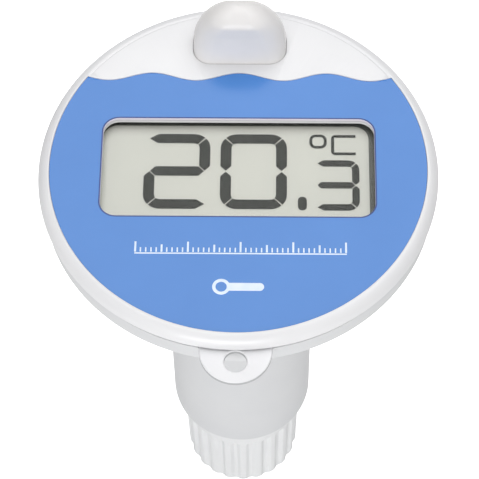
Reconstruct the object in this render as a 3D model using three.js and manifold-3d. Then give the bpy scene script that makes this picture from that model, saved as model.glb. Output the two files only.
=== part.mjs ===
// Floating pool thermometer: a round float head with a display, on a battery stem closed by a fluted screw cap.
// Millimetres, +Z up along the stem. The origin is the centre of the cap's flat bottom.
import * as THREE from "three";
import { mergeVertices } from "three/addons/utils/BufferGeometryUtils.js";
import Module from "manifold-3d";

// ---------------------------------------------------------------- overall sizes
const HEAD_RADIUS = 55; // the rim at its widest
const FACE_HEIGHT = 167.3; // cap bottom to the face
const STEM_RADIUS = 21.6;
const CAP_RADIUS = 18.4; // over the ridges, at the collar
const CAP_HEIGHT = 38; // the part of the cap that shows below the stem

// ---------------------------------------------------------------- fits
const SLIP = 0.3; // clearance between pieces that meet or slide
const GLUE = 0.2; // clearance of a bonded or clamped face
const OVERLAP = 0.4; // how far a joined feature sinks into its neighbour

// ---------------------------------------------------------------- head shells
const RIM_WIDTH = 3.2; // face edge to widest line
const RIM_DROP = 4; // face to widest line
const SKIN = 2.4; // upper shell's top wall
const UPPER_DEPTH = 4.2; // face to the shell joint
const SKIRT_WALL = 2.8; // rim wall at the shell joint
const SKIRT_TAPER = 0.1;
const SEAL_CEILING = 2.2; // face to the roof of the head seal's groove
const SEAL_ROOF_WIDTH = 2.4;
const HEAD_SEAL_SECTION = 0.5;
const LOWER_STEP = 0.9; // the lower shell's wall stands this far inside the rim
const LOWER_ROOM = 2; // main board's underside to the lower shell's bottom edge
const LOWER_EDGE = 1.3; // rounding of that edge
const TONGUE_WALL = 1.7;
const WALL = 2.2;
const BOWL_DEPTH = 34; // face to where the bowl has become the stem
const BOWL_PULL = 4.4; // the bowl curve's control point, out from the stem
const BOWL_SAG = 4; // and below the lower edge

// ---------------------------------------------------------------- face plate and window
const PLATE_THICKNESS = 1;
const PLATE_SINK = 0.2; // the plate lies this far below the white shell
const WAVE_LENGTH = 24.4;
const WAVE_HEIGHT = 1.25;
const WAVE_TO_DOME = 4.25; // mean wave line to the dome's front
const WINDOW_WIDTH = 74.8;
const WINDOW_HEIGHT = 31.55;
const WINDOW_CORNER = 4.4;
const WINDOW_Y = -0.25;
const LENS_MARGIN = 3.4;
const LENS_THICKNESS = 1.2;

// ---------------------------------------------------------------- antenna dome
const DOME_WIDTH = 26.2;
const DOME_LENGTH = 13.3;
const DOME_HEIGHT = 18.6;
const DOME_CORNER = 5;
const DOME_WALL = 1.6;
const DOME_TO_EDGE = 4.6; // dome's back to the face's edge
const DOME_LEAN = 1.4; // how far its front leans back at the shoulder
const DOME_FLANGE = 1.6;
const FLANGE_THICKNESS = 1.2;
const GASKET_THICKNESS = 0.6;
const AERIAL_RADIUS = 3;
const AERIAL_WIRE = 0.4;
const AERIAL_TURNS = 5;
const AERIAL_HEIGHT = 10;

// ---------------------------------------------------------------- tether tab
const TAB_WIDTH = 19.4;
const TAB_REACH = 9.3; // rim to the tab's tip
const TAB_THICKNESS = 1.6;
const TAB_HOLE_RADIUS = 3.05;
const TAB_HOLE_REACH = 3; // rim to the hole's centre
const TAB_FOOT = 1.2;
const TAB_FOOT_SPREAD = 4; // foot beyond the tab, each side

// ---------------------------------------------------------------- display stack and boards
const DISPLAY_MARGIN = 4.6; // glass beyond the window, left and right
const DISPLAY_LIP = 4; // glass beyond the window, front and back
const DISPLAY_THICKNESS = 2.2;
const FRAME_WALL = 1.5;
const FRAME_HEIGHT = 4.4;
const STRIP_WIDTH = 2.4;
const STRIP_INSET = 3; // strip's centre line inside the glass edge
const BOARD_THICKNESS = 1.6;
const BOARD_WALL_GAP = 4.2; // board edge to the tongue
const BOARD_SPARE = 1.5; // board beyond the frame, each side
const BOARD_SCREW_X = 33;
const BOARD_BOSS = 2.1;
const BOARD_PILOT = 1.1;
const BOARD_SCREW = 0.8;

// ---------------------------------------------------------------- case screws
const CASE_SCREWS = 4;
const CASE_SCREW_INSET = 11; // rim to the screw circle
const CASE_BOSS = 4.4;
const CASE_POST = 3.2;
const CASE_SCREW = 1.45;
const CASE_HEAD = 2.8;
const CASE_HEAD_HEIGHT = 1.8;
const WASHER_THICKNESS = 0.6;
const POST_LENGTH = 5.6; // upper post below the skin
const SEAT_WALL = 2.3; // material under a screw head

// ---------------------------------------------------------------- stem mouth, thread and cap
const STEM_EDGE = 0.8;
const MOUTH_STEP = 0.2; // plain bore round the cap seal, beyond the thread's root
const MOUTH_HEIGHT = 4;
const NECK_RADIUS = 17.3; // root of the stem's thread
const NECK_TOP = 56;
const NECK_RAMP = 3;
const THREAD_PITCH = 3;
const THREAD_TURNS = 2.5;
const THREAD_HEIGHT = 0.85;
const THREAD_ROOT = 1.2; // ridge width at its root
const THREAD_CREST = 0.6;
const THREAD_CLEARANCE = 0.35; // crest to the other thread's root
const CAP_NECK_HEIGHT = 15;
const CAP_NECK_WALL = 2.7;
const CAP_FLOOR = 2.6;
const CAP_EDGE = 1.6;
const CAP_TAPER = 0.5;
const FLUTES = 22;
const FLUTE_DEPTH = 0.95;
const FLUTE_TOP = 29;
const FLUTE_TURN = 9.7; // degrees from +X to the first ridge, with the cap screwed home
const SEAL_SECTION = 0.85;
const SEAL_HEIGHT = 2; // cap shoulder to the seal's middle

// ---------------------------------------------------------------- battery carrier
const CELL_RADIUS = 7.25;
const CELL_LENGTH = 50.5;
const CELL_NUB = 1.2;
const CELL_NUB_RADIUS = 2.7;
const CELL_Y = -0.5;
const SPRING_LENGTH = 5;
const SPRING_BASE = 4.2;
const SPRING_TIP = 2.6;
const SPRING_WIRE = 0.35;
const SPRING_TURNS = 3.5;
const CONTACT = 0.5;
const CARRIER_PLATE = 2;
const CARRIER_RIM_GAP = 0.65; // carrier to the thread that it passes through
const SPINE_WALL = 1.8;
const SPINE_WIDTH = 22;
const TAG_WIDTH = 2.4;
const TAG_LENGTH = 5;
const WIRE_RADIUS = 0.7;
const RIBBON_WIDTH = 5;
const RIBBON = 0.6;
const PROBE_RADIUS = 1.3;
const PROBE_LENGTH = 5;
const LEAD_RADIUS = 0.55;
const PROBE_LIFT = 5; // above the ramp inside the neck

// ---------------------------------------------------------------- keys on the carrier's lower board
const KEY_BOARD_GAP = 0.8; // its edge to the cap's bore
const KEY_BOARD = 1;
const KEY_X = 5.5;
const KEY_BODY = 6;
const KEY_BODY_HEIGHT = 3.4;
const BUTTON_RADIUS = 1.7;
const BUTTON_PROUD = 1.6;
const BUTTON_TRAVEL = 0.6;
const KEY_ROOF = 0.6; // wall over the button
const SWITCH_ROOF = 0.8; // wall over the slider
const SLIDER_WIDTH = 1.6;
const SLIDER_PROUD = 1.8;
const SLIDER_TRAVEL = 2;
const SLIDE_BODY_X = 4.2;
const SLIDE_BODY_Y = 8.6;

// ---------------------------------------------------------------- roundness
const ROUND = 40; // sides of the head and the stem
const CAP_ROUND = 44; // two for each of the cap's flutes
const SMALL_ROUND = 12;
const CORNER_STEPS = 3;
const RIM_STEPS = 5;
const BOWL_STEPS = 6;
const THREAD_STEPS = 16; // for each turn

// ---------------------------------------------------------------- derived sizes, heights below the face are negative
const FACE_RADIUS = HEAD_RADIUS - RIM_WIDTH;
const LOWER_RADIUS = HEAD_RADIUS - LOWER_STEP;
const SKIRT_INNER = HEAD_RADIUS - SKIRT_WALL;
const TONGUE_RADIUS = SKIRT_INNER - SLIP;
const TONGUE_INNER = TONGUE_RADIUS - TONGUE_WALL;
const TONGUE_TOP = -SEAL_CEILING - 2 * SLIP - 2 * HEAD_SEAL_SECTION;
const LOWER_TOP = -UPPER_DEPTH - SLIP;
const TAB_TOP = LOWER_TOP;
const TAB_BOTTOM = TAB_TOP - TAB_THICKNESS;
const STEM_INNER = STEM_RADIUS - WALL;
const STEM_BOTTOM = CAP_HEIGHT + SLIP;

const DOME_BACK = FACE_RADIUS - DOME_TO_EDGE;
const DOME_FRONT = DOME_BACK - DOME_LENGTH;
const DOME_Y = (DOME_BACK + DOME_FRONT) / 2;
const WAVE_Y = DOME_FRONT - WAVE_TO_DOME;
const FLANGE_TOP = -SKIN - 2 * GLUE - GASKET_THICKNESS;

const LENS_TOP = -SKIN - GLUE;
const GLASS_TOP = LENS_TOP - LENS_THICKNESS - GLUE;
const GLASS_BOTTOM = GLASS_TOP - DISPLAY_THICKNESS;
const GLASS_WIDTH = WINDOW_WIDTH + 2 * DISPLAY_MARGIN;
const GLASS_HEIGHT = WINDOW_HEIGHT + 2 * DISPLAY_LIP;
const FRAME_BOTTOM = GLASS_TOP - FRAME_HEIGHT;
const BOARD_TOP = FRAME_BOTTOM - GLUE;
const BOARD_BOTTOM = BOARD_TOP - BOARD_THICKNESS;
const LOWER_DEPTH = LOWER_ROOM - BOARD_BOTTOM;
const BOARD_RADIUS = TONGUE_INNER - BOARD_WALL_GAP;
const BOARD_SCREW_Y = GLASS_HEIGHT / 2 + SLIP + FRAME_WALL + SLIP + BOARD_BOSS;
const BOARD_HALF_Y = BOARD_SCREW_Y + BOARD_BOSS;
const BOARD_HALF_X = GLASS_WIDTH / 2 + FRAME_WALL + BOARD_SPARE;

const SCREW_CIRCLE = HEAD_RADIUS - CASE_SCREW_INSET;
const POST_BOTTOM = -SKIN - POST_LENGTH;
const BOSS_TOP = POST_BOTTOM - SLIP;
const SEAT = BOSS_TOP - SEAT_WALL;

const THREAD_LOW = STEM_BOTTOM + MOUTH_HEIGHT + THREAD_ROOT;
const CAP_NECK_RADIUS = NECK_RADIUS - THREAD_HEIGHT - THREAD_CLEARANCE;
const CAP_NECK_BORE = CAP_NECK_RADIUS - CAP_NECK_WALL;
const CAP_NECK_TOP = CAP_HEIGHT + CAP_NECK_HEIGHT;
const MOUTH_RADIUS = NECK_RADIUS + MOUTH_STEP;
const SEAL_RADIUS = MOUTH_RADIUS - SLIP - SEAL_SECTION;
const SEAL_ROOT = SEAL_RADIUS - SEAL_SECTION - SLIP;
const FLUTE_RADIUS = CAP_RADIUS - FLUTE_DEPTH;

const CARRIER_RADIUS = NECK_RADIUS - THREAD_HEIGHT - CARRIER_RIM_GAP;
const CARRIER_BOTTOM = CAP_NECK_TOP + SLIP;
const CARRIER_FLOOR = CARRIER_BOTTOM + CARRIER_PLATE;
const BRIDGE_TOP = CARRIER_FLOOR + GLUE + CONTACT;
const CELL_X = CELL_RADIUS + SLIP / 2;
const LOW_CELL = BRIDGE_TOP + SLIP;
const HIGH_CELL = LOW_CELL + SPRING_LENGTH + GLUE;
const PLATE_LEVEL = HIGH_CELL + CELL_LENGTH + SLIP;
const CARRIER_CEILING = PLATE_LEVEL + CONTACT + GLUE;
const CARRIER_TOP = CARRIER_CEILING + CARRIER_PLATE;
const SPINE_Y = CELL_Y + CELL_RADIUS + SLIP;
const RIBBON_Y = SPINE_Y + SPINE_WALL + SLIP;
const TAG_X = CELL_X + SPRING_BASE - TAG_WIDTH / 2;
const TAG_TOP = CARRIER_TOP + TAG_LENGTH;
const WIRE_TOP = FACE_HEIGHT + BOARD_BOTTOM - SLIP;
const PROBE_Y = -(STEM_INNER - SLIP - PROBE_RADIUS);
const PROBE_BOTTOM = NECK_TOP + NECK_RAMP + PROBE_LIFT;
const KEY_BOARD_RADIUS = CAP_NECK_BORE - KEY_BOARD_GAP;
const KEY_BOARD_TOP = CARRIER_BOTTOM - GLUE;
const KEY_TOP = KEY_BOARD_TOP - KEY_BOARD - GLUE;
const KEY_BOTTOM = KEY_TOP - KEY_BODY_HEIGHT;

// ---------------------------------------------------------------- finishes
const FINISHES = {
  white: { color: 0xf2f2f3, roughness: 0.35, metalness: 0 },
  grey: { color: 0xdfdfdf, roughness: 0.4, metalness: 0 },
  blue: { color: 0x6b98dc, roughness: 0.45, metalness: 0 },
  frosted: { color: 0xd2d3d6, roughness: 0.2, metalness: 0 },
  clear: { color: 0xe8f0f2, roughness: 0.05, metalness: 0 },
  display: { color: 0xcdd2cb, roughness: 0.25, metalness: 0 },
  rubber: { color: 0x3a3b3d, roughness: 0.8, metalness: 0 },
  silicone: { color: 0xb9b4ae, roughness: 0.7, metalness: 0 },
  board: { color: 0x2f6b45, roughness: 0.5, metalness: 0 },
  chip: { color: 0x222326, roughness: 0.5, metalness: 0 },
  steel: { color: 0xb4b6b8, roughness: 0.3, metalness: 1 },
  copper: { color: 0xb8754a, roughness: 0.35, metalness: 1 },
  black: { color: 0x2b2c2e, roughness: 0.5, metalness: 0 },
  cell: { color: 0x4c7d64, roughness: 0.35, metalness: 0 },
  red: { color: 0xb8322c, roughness: 0.5, metalness: 0 },
  ribbon: { color: 0xd8d2c4, roughness: 0.5, metalness: 0 },
};

// ---------------------------------------------------------------- solids
const wasm = await Module();
wasm.setup();

function manifoldOf(positions, corners) {
  return new wasm.Manifold(
    new wasm.Mesh({ numProp: 3, vertProperties: positions, triVerts: new Uint32Array(corners) }),
  );
}

// Makes a solid of a closed geometry, with its faces pointing out.
function solid(geometry) {
  const plain = geometry.clone();
  plain.deleteAttribute("normal");
  plain.deleteAttribute("uv");
  const merged = mergeVertices(plain, 1e-4);
  const index = merged.index.array;
  const corners = [];
  for (let i = 0; i < index.length; i += 3) {
    const [a, b, c] = [index[i], index[i + 1], index[i + 2]];
    if (a !== b && b !== c && c !== a) corners.push(a, b, c);
  }
  const positions = merged.attributes.position.array;
  const made = manifoldOf(positions, corners);
  return made.volume() < 0 ? manifoldOf(positions, corners.reverse()) : made;
}

function geometryOf(body) {
  const mesh = body.getMesh();
  const geometry = new THREE.BufferGeometry();
  geometry.setAttribute("position", new THREE.BufferAttribute(mesh.vertProperties, 3));
  geometry.setIndex(new THREE.BufferAttribute(mesh.triVerts, 1));
  return geometry;
}

// A named mesh of a solid, in its finish and at its place.
function piece(name, finish, body, [x, y, z] = [0, 0, 0]) {
  const mesh = new THREE.Mesh(geometryOf(body), new THREE.MeshStandardMaterial(FINISHES[finish]));
  mesh.name = name;
  mesh.position.set(x, y, z);
  return mesh;
}

const joined = (bodies) => bodies.reduce((sum, body) => sum.add(body));

const cutBy = (body, tools) => tools.reduce((left, tool) => left.subtract(tool), body);

// A solid of revolution about Z: the profile of [radius, height] starts and ends on the axis.
function turned(profile, sides = ROUND) {
  const points = profile.map(([radius, height]) => new THREE.Vector2(radius, height));
  return solid(new THREE.LatheGeometry(points, sides).rotateX(Math.PI / 2));
}

// A turned ring, whose profile closes on itself.
const ring = (profile, sides) => turned([...profile, profile[0]], sides);

// A round-section ring, such as a seal.
function roundRing(radius, section, height, sides) {
  const profile = [];
  const corners = 6;
  for (let i = 0; i < corners; i++) {
    const angle = (i / corners) * 2 * Math.PI;
    profile.push([radius + section * Math.cos(angle), height + section * Math.sin(angle)]);
  }
  return ring(profile, sides);
}

function cylinder(radius, bottom, top, [x, y] = [0, 0], sides = SMALL_ROUND) {
  const geometry = new THREE.CylinderGeometry(radius, radius, top - bottom, sides).rotateX(Math.PI / 2);
  return solid(geometry.translate(x, y, (top + bottom) / 2));
}

function block([x0, x1], [y0, y1], [z0, z1]) {
  const geometry = new THREE.BoxGeometry(x1 - x0, y1 - y0, z1 - z0);
  return solid(geometry.translate((x0 + x1) / 2, (y0 + y1) / 2, (z0 + z1) / 2));
}

function prism(shape, bottom, top) {
  const settings = { depth: top - bottom, bevelEnabled: false, curveSegments: CORNER_STEPS };
  return solid(new THREE.ExtrudeGeometry(shape, settings).translate(0, 0, bottom));
}

// A rectangle with round corners, centred on x = 0.
function roundedRectangle(width, height, corner, y = 0) {
  const [w, h] = [width / 2, height / 2];
  const shape = new THREE.Shape();
  shape.moveTo(w, y - h + corner);
  shape.absarc(w - corner, y + h - corner, corner, 0, Math.PI / 2);
  shape.absarc(-w + corner, y + h - corner, corner, Math.PI / 2, Math.PI);
  shape.absarc(-w + corner, y - h + corner, corner, Math.PI, 1.5 * Math.PI);
  shape.absarc(w - corner, y - h + corner, corner, 1.5 * Math.PI, 2 * Math.PI);
  return shape;
}

function circle(radius, sides) {
  const points = [];
  for (let i = 0; i < sides; i++) {
    const angle = (i / sides) * 2 * Math.PI;
    points.push(new THREE.Vector2(radius * Math.cos(angle), radius * Math.sin(angle)));
  }
  return new THREE.Shape(points);
}

// A round wire or lead along a curve.
function wire(curve, radius, steps, sides = 6) {
  return solid(new THREE.ExtrudeGeometry(circle(radius, sides), { steps, extrudePath: curve }));
}

const throughPoints = (points) => new THREE.CatmullRomCurve3(points.map((p) => new THREE.Vector3(...p)));

// A coil about Z whose radius runs from one value to another.
class Coil extends THREE.Curve {
  constructor(startRadius, endRadius, turns, height) {
    super();
    Object.assign(this, { startRadius, endRadius, turns, height });
  }

  getPoint(t, target = new THREE.Vector3()) {
    const radius = this.startRadius + (this.endRadius - this.startRadius) * t;
    const angle = 2 * Math.PI * this.turns * t;
    return target.set(radius * Math.cos(angle), radius * Math.sin(angle), this.height * t);
  }
}

// A right-hand thread ridge: a straight trapezium bar, wound into a helix and faded out at both ends.
function threadRidge(rootRadius, height, bottom) {
  const outward = Math.sign(height);
  const bar = new THREE.Shape();
  bar.moveTo(-OVERLAP, -THREAD_ROOT / 2);
  bar.lineTo(0, -THREAD_ROOT / 2);
  bar.lineTo(Math.abs(height), -THREAD_CREST / 2);
  bar.lineTo(Math.abs(height), THREAD_CREST / 2);
  bar.lineTo(0, THREAD_ROOT / 2);
  bar.lineTo(-OVERLAP, THREAD_ROOT / 2);
  const steps = THREAD_STEPS * THREAD_TURNS;
  const geometry = new THREE.ExtrudeGeometry(bar, { steps, depth: THREAD_TURNS, bevelEnabled: false });
  const position = geometry.attributes.position;
  for (let i = 0; i < position.count; i++) {
    const turn = position.getZ(i);
    const fade = Math.min(1, 6 * turn, 6 * (THREAD_TURNS - turn));
    const rise = position.getX(i) > 0 ? position.getX(i) * fade : position.getX(i);
    const radius = rootRadius + outward * rise;
    const angle = 2 * Math.PI * turn;
    const level = bottom + THREAD_PITCH * turn + position.getY(i);
    position.setXYZ(i, radius * Math.cos(angle), radius * Math.sin(angle), level);
  }
  return solid(geometry);
}

// ---------------------------------------------------------------- places that repeat
const aroundCircle = (radius, count, first) =>
  Array.from({ length: count }, (_, i) => {
    const angle = first + (i / count) * 2 * Math.PI;
    return [radius * Math.cos(angle), radius * Math.sin(angle)];
  });

const CASE_SCREW_PLACES = aroundCircle(SCREW_CIRCLE, CASE_SCREWS, Math.PI / 4);

const BOARD_SCREW_PLACES = [1, -1].flatMap((side) => [
  [BOARD_SCREW_X, WINDOW_Y + side * BOARD_SCREW_Y],
  [-BOARD_SCREW_X, WINDOW_Y + side * BOARD_SCREW_Y],
]);

// ---------------------------------------------------------------- head: face, window and dome
// The coloured field, less an inset: a disc cut off at the back by a wavy line.
function faceOutline(inset) {
  const radius = FACE_RADIUS - inset;
  const meanY = WAVE_Y - inset;
  const waveAt = (x) => meanY + WAVE_HEIGHT * Math.cos((2 * Math.PI * x) / WAVE_LENGTH);
  const end = Math.sqrt(radius ** 2 - meanY ** 2);
  const steps = 42;
  const shape = new THREE.Shape();
  shape.moveTo(-end, meanY);
  for (let i = 1; i < steps; i++) {
    const x = -end + (2 * end * i) / steps;
    shape.lineTo(x, waveAt(x));
  }
  shape.lineTo(end, meanY);
  const start = Math.atan2(meanY, end);
  const arcSteps = 44;
  for (let i = 1; i < arcSteps; i++) {
    const angle = start - ((Math.PI + 2 * start) * i) / arcSteps;
    shape.lineTo(radius * Math.cos(angle), radius * Math.sin(angle));
  }
  return shape;
}

const windowOutline = (margin, corner = WINDOW_CORNER + margin) =>
  roundedRectangle(WINDOW_WIDTH + 2 * margin, WINDOW_HEIGHT + 2 * margin, corner, WINDOW_Y);

const domeOutline = (margin) =>
  roundedRectangle(DOME_WIDTH + 2 * margin, DOME_LENGTH + 2 * margin, DOME_CORNER + margin, DOME_Y);

function upperShell() {
  const rim = new THREE.EllipseCurve(FACE_RADIUS, -RIM_DROP, RIM_WIDTH, RIM_DROP, Math.PI / 2, 0, true);
  const body = turned([
    [0, 0],
    ...rim.getPoints(RIM_STEPS).map((p) => [p.x, p.y]),
    [HEAD_RADIUS - SKIRT_TAPER, -UPPER_DEPTH],
    [SKIRT_INNER, -UPPER_DEPTH],
    [SKIRT_INNER, -SEAL_CEILING],
    [SKIRT_INNER - SEAL_ROOF_WIDTH, -SEAL_CEILING],
    [SKIRT_INNER - SEAL_ROOF_WIDTH, -SKIN],
    [0, -SKIN],
  ]);
  const posts = CASE_SCREW_PLACES.map((at) => cylinder(CASE_POST, POST_BOTTOM, -SKIN + OVERLAP, at));
  const bosses = BOARD_SCREW_PLACES.map((at) => cylinder(BOARD_BOSS, BOARD_TOP + GLUE, -SKIN + OVERLAP, at));
  const recess = prism(faceOutline(0), -PLATE_SINK - PLATE_THICKNESS - GLUE, 1);
  return cutBy(joined([body, ...posts, ...bosses]), [
    recess,
    prism(windowOutline(GLUE), -SKIN - 1, 1),
    prism(domeOutline(SLIP), -SKIN - 1, 1),
    ...CASE_SCREW_PLACES.map((at) => cylinder(CASE_SCREW + SLIP, POST_BOTTOM - 1, -SKIN - OVERLAP, at)),
    ...BOARD_SCREW_PLACES.map((at) => cylinder(BOARD_PILOT, BOARD_TOP - 1, -SKIN - OVERLAP, at, 12)),
  ]);
}

function facePlate() {
  const plate = prism(faceOutline(GLUE), -PLATE_SINK - PLATE_THICKNESS, -PLATE_SINK);
  return plate.subtract(prism(windowOutline(0), -SKIN, 1));
}

const windowLens = () => prism(windowOutline(LENS_MARGIN, 3), LENS_TOP - LENS_THICKNESS, LENS_TOP);

// The dome's outside, or its inside when inset by the wall: three rounded outlines cut from each other.
function domeBlank(inset, bottom) {
  const width = DOME_WIDTH / 2 - inset;
  const height = DOME_HEIGHT - inset;
  const [front, back] = [DOME_FRONT + inset, DOME_BACK - inset];
  const across = new THREE.Shape();
  across.moveTo(-width, bottom);
  across.lineTo(width, bottom);
  across.lineTo(width, 0);
  across.absellipse(0, 0, width, height, 0, Math.PI);
  const fromFront = new THREE.ExtrudeGeometry(across, { depth: 80, bevelEnabled: false, curveSegments: 20 });
  const along = new THREE.Shape();
  along.moveTo(front, bottom);
  along.lineTo(back, bottom);
  along.lineTo(back, 0.3 * height);
  along.quadraticCurveTo(back, height, (front + back) / 2, height);
  along.quadraticCurveTo(front + DOME_LEAN, height, front + DOME_LEAN, 0.55 * height);
  along.lineTo(front, 0);
  const fromSide = new THREE.ExtrudeGeometry(along, { depth: 40, bevelEnabled: false, curveSegments: 8 });
  const fromAbove = prism(domeOutline(-inset), bottom, height);
  return fromAbove
    .intersect(solid(fromFront.rotateX(Math.PI / 2).translate(0, 80, 0)))
    .intersect(solid(fromSide.rotateX(Math.PI / 2).rotateZ(Math.PI / 2).translate(-20, 0, 0)));
}

function antennaDome() {
  const flange = prism(domeOutline(DOME_FLANGE), FLANGE_TOP - FLANGE_THICKNESS, FLANGE_TOP);
  const outside = domeBlank(0, FLANGE_TOP - FLANGE_THICKNESS);
  return outside.add(flange).subtract(domeBlank(DOME_WALL, FLANGE_TOP - FLANGE_THICKNESS - 1));
}

function domeGasket() {
  const pad = prism(domeOutline(DOME_FLANGE), FLANGE_TOP + GLUE, FLANGE_TOP + GLUE + GASKET_THICKNESS);
  return pad.subtract(prism(domeOutline(SLIP), FLANGE_TOP, 0));
}

// The aerial: a coil that stands in the dome, with a leg down to the board.
function aerial() {
  const coil = wire(new Coil(AERIAL_RADIUS, AERIAL_RADIUS, AERIAL_TURNS, AERIAL_HEIGHT), AERIAL_WIRE, 45);
  const low = BOARD_BOTTOM - SLIP - AERIAL_WIRE;
  const landing = WINDOW_Y + BOARD_HALF_Y - 2 - DOME_Y;
  const leg = wire(
    throughPoints([
      [AERIAL_RADIUS, 0, AERIAL_WIRE],
      [AERIAL_RADIUS, 0, low / 2],
      [AERIAL_RADIUS, 0, low + 1.5],
      [AERIAL_RADIUS, -1.5, low],
      [AERIAL_RADIUS, landing, low],
    ]),
    AERIAL_WIRE,
    16,
  );
  return coil.add(leg);
}

// ---------------------------------------------------------------- head: lower shell, tether tab and fixings
const bowlCurve = (inset) =>
  new THREE.QuadraticBezierCurve(
    new THREE.Vector2(LOWER_RADIUS - LOWER_EDGE - inset, -LOWER_DEPTH + inset),
    new THREE.Vector2(STEM_RADIUS + BOWL_PULL - inset, -LOWER_DEPTH - BOWL_SAG + inset),
    new THREE.Vector2(STEM_RADIUS - inset, -BOWL_DEPTH),
  );

// The bowl and the stem are one moulding. Its profile runs down the outside and back up the inside.
function lowerShellBlank() {
  const floor = -FACE_HEIGHT;
  const outer = bowlCurve(0)
    .getPoints(BOWL_STEPS)
    .map((p) => [p.x, p.y]);
  const inner = bowlCurve(WALL)
    .getPoints(BOWL_STEPS)
    .map((p) => [p.x, p.y])
    .reverse();
  inner.pop();
  return ring([
    [TONGUE_RADIUS, LOWER_TOP],
    [LOWER_RADIUS, LOWER_TOP],
    [LOWER_RADIUS, -LOWER_DEPTH + LOWER_EDGE],
    [LOWER_RADIUS - 0.3 * LOWER_EDGE, -LOWER_DEPTH + 0.3 * LOWER_EDGE],
    ...outer,
    [STEM_RADIUS, floor + STEM_BOTTOM + STEM_EDGE],
    [STEM_RADIUS - STEM_EDGE, floor + STEM_BOTTOM],
    [MOUTH_RADIUS, floor + STEM_BOTTOM],
    [MOUTH_RADIUS, floor + STEM_BOTTOM + MOUTH_HEIGHT - SLIP],
    [NECK_RADIUS, floor + STEM_BOTTOM + MOUTH_HEIGHT],
    [NECK_RADIUS, floor + NECK_TOP],
    [STEM_INNER, floor + NECK_TOP + NECK_RAMP],
    ...inner,
    [TONGUE_INNER, -LOWER_DEPTH + WALL + 0.6],
    [TONGUE_INNER, TONGUE_TOP],
    [TONGUE_RADIUS, TONGUE_TOP],
  ]);
}

// The tab's foot is a curved bar that fills its pocket in the lower shell's wall, less a margin all round.
function tabFoot(margin, bottom, top) {
  const half = TAB_WIDTH / 2 + TAB_FOOT_SPREAD + margin;
  const arc = ring([
    [TONGUE_RADIUS + GLUE - margin, bottom],
    [TONGUE_RADIUS + GLUE + TAB_FOOT + margin, bottom],
    [TONGUE_RADIUS + GLUE + TAB_FOOT + margin, top],
    [TONGUE_RADIUS + GLUE - margin, top],
  ]);
  return arc.intersect(block([-half, half], [-2 * HEAD_RADIUS, 0], [bottom, top]));
}

// The tab in plan, from inside the wall out to its round tip.
function tabOutline(margin) {
  const radius = TAB_WIDTH / 2 + margin;
  const centre = -(HEAD_RADIUS + TAB_REACH - TAB_WIDTH / 2);
  const shape = new THREE.Shape();
  shape.moveTo(radius, -(TONGUE_RADIUS + GLUE + TAB_FOOT / 2));
  shape.lineTo(radius, centre);
  for (let i = 1; i < 20; i++) {
    const angle = (-Math.PI * i) / 20;
    shape.lineTo(radius * Math.cos(angle), centre + radius * Math.sin(angle));
  }
  shape.lineTo(-radius, centre);
  shape.lineTo(-radius, -(TONGUE_RADIUS + GLUE + TAB_FOOT / 2));
  return shape;
}

// The plate starts on the foot's own curve, so that it stays clear of the pocket's back wall.
function tetherTab() {
  const hole = [0, -(HEAD_RADIUS + TAB_HOLE_REACH)];
  const plate = prism(tabOutline(0), TAB_BOTTOM, TAB_TOP);
  const tongue = cylinder(TONGUE_RADIUS + GLUE, TAB_BOTTOM - 1, TAB_TOP + 1, [0, 0], ROUND);
  return cutBy(tabFoot(0, TAB_BOTTOM, TAB_TOP).add(plate), [
    tongue,
    cylinder(TAB_HOLE_RADIUS, TAB_BOTTOM - 1, TAB_TOP + 1, hole, 24),
  ]);
}

function lowerShell() {
  const bosses = CASE_SCREW_PLACES.map((at) => cylinder(CASE_BOSS, SEAT - 1, BOSS_TOP, at));
  const belowBowl = lowerShellHull();
  const body = joined([lowerShellBlank(), ...bosses.map((boss) => boss.intersect(belowBowl))]);
  const heads = CASE_SCREW_PLACES.map((at) => cylinder(CASE_HEAD + SLIP, -2 * LOWER_DEPTH, SEAT, at));
  const holes = CASE_SCREW_PLACES.map((at) => cylinder(CASE_SCREW + SLIP, SEAT - 1, BOSS_TOP + 1, at));
  const insideWall = cylinder(TONGUE_RADIUS, -2 * LOWER_DEPTH, 0, [0, 0], ROUND);
  const pocket = tabFoot(GLUE, TAB_BOTTOM - GLUE, 0).subtract(insideWall);
  const notch = prism(tabOutline(GLUE), TAB_BOTTOM - GLUE, 0).subtract(insideWall);
  const ridge = threadRidge(NECK_RADIUS, -THREAD_HEIGHT, THREAD_LOW - FACE_HEIGHT);
  return cutBy(body, [...heads, ...holes, pocket, notch]).add(ridge);
}

// Everything above the bowl's outer face, which trims the screw bosses.
function lowerShellHull() {
  const outer = bowlCurve(0)
    .getPoints(BOWL_STEPS)
    .map((p) => [p.x, p.y])
    .reverse();
  return turned([[0, -BOWL_DEPTH], ...outer, [LOWER_RADIUS - LOWER_EDGE, 0], [0, 0]]);
}

const headSeal = () =>
  roundRing(
    (TONGUE_RADIUS + TONGUE_INNER) / 2,
    HEAD_SEAL_SECTION,
    TONGUE_TOP + SLIP + HEAD_SEAL_SECTION,
    ROUND,
  );

function panScrew(shank, head, headHeight, length, sides) {
  const slot = block([-head - 1, head + 1], [-0.3, 0.3], [-headHeight - 1, -headHeight / 2]);
  return cylinder(head, -headHeight, 0, [0, 0], sides)
    .add(cylinder(shank, -OVERLAP, length, [0, 0], sides))
    .subtract(slot);
}

const sealingWasher = () =>
  ring(
    [
      [CASE_SCREW + SLIP, -WASHER_THICKNESS],
      [CASE_HEAD, -WASHER_THICKNESS],
      [CASE_HEAD, 0],
      [CASE_SCREW + SLIP, 0],
    ],
    SMALL_ROUND,
  );

// ---------------------------------------------------------------- display stack and main board
const displayGlass = () =>
  prism(roundedRectangle(GLASS_WIDTH, GLASS_HEIGHT, 0.5, WINDOW_Y), GLASS_BOTTOM, GLASS_TOP);

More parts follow.
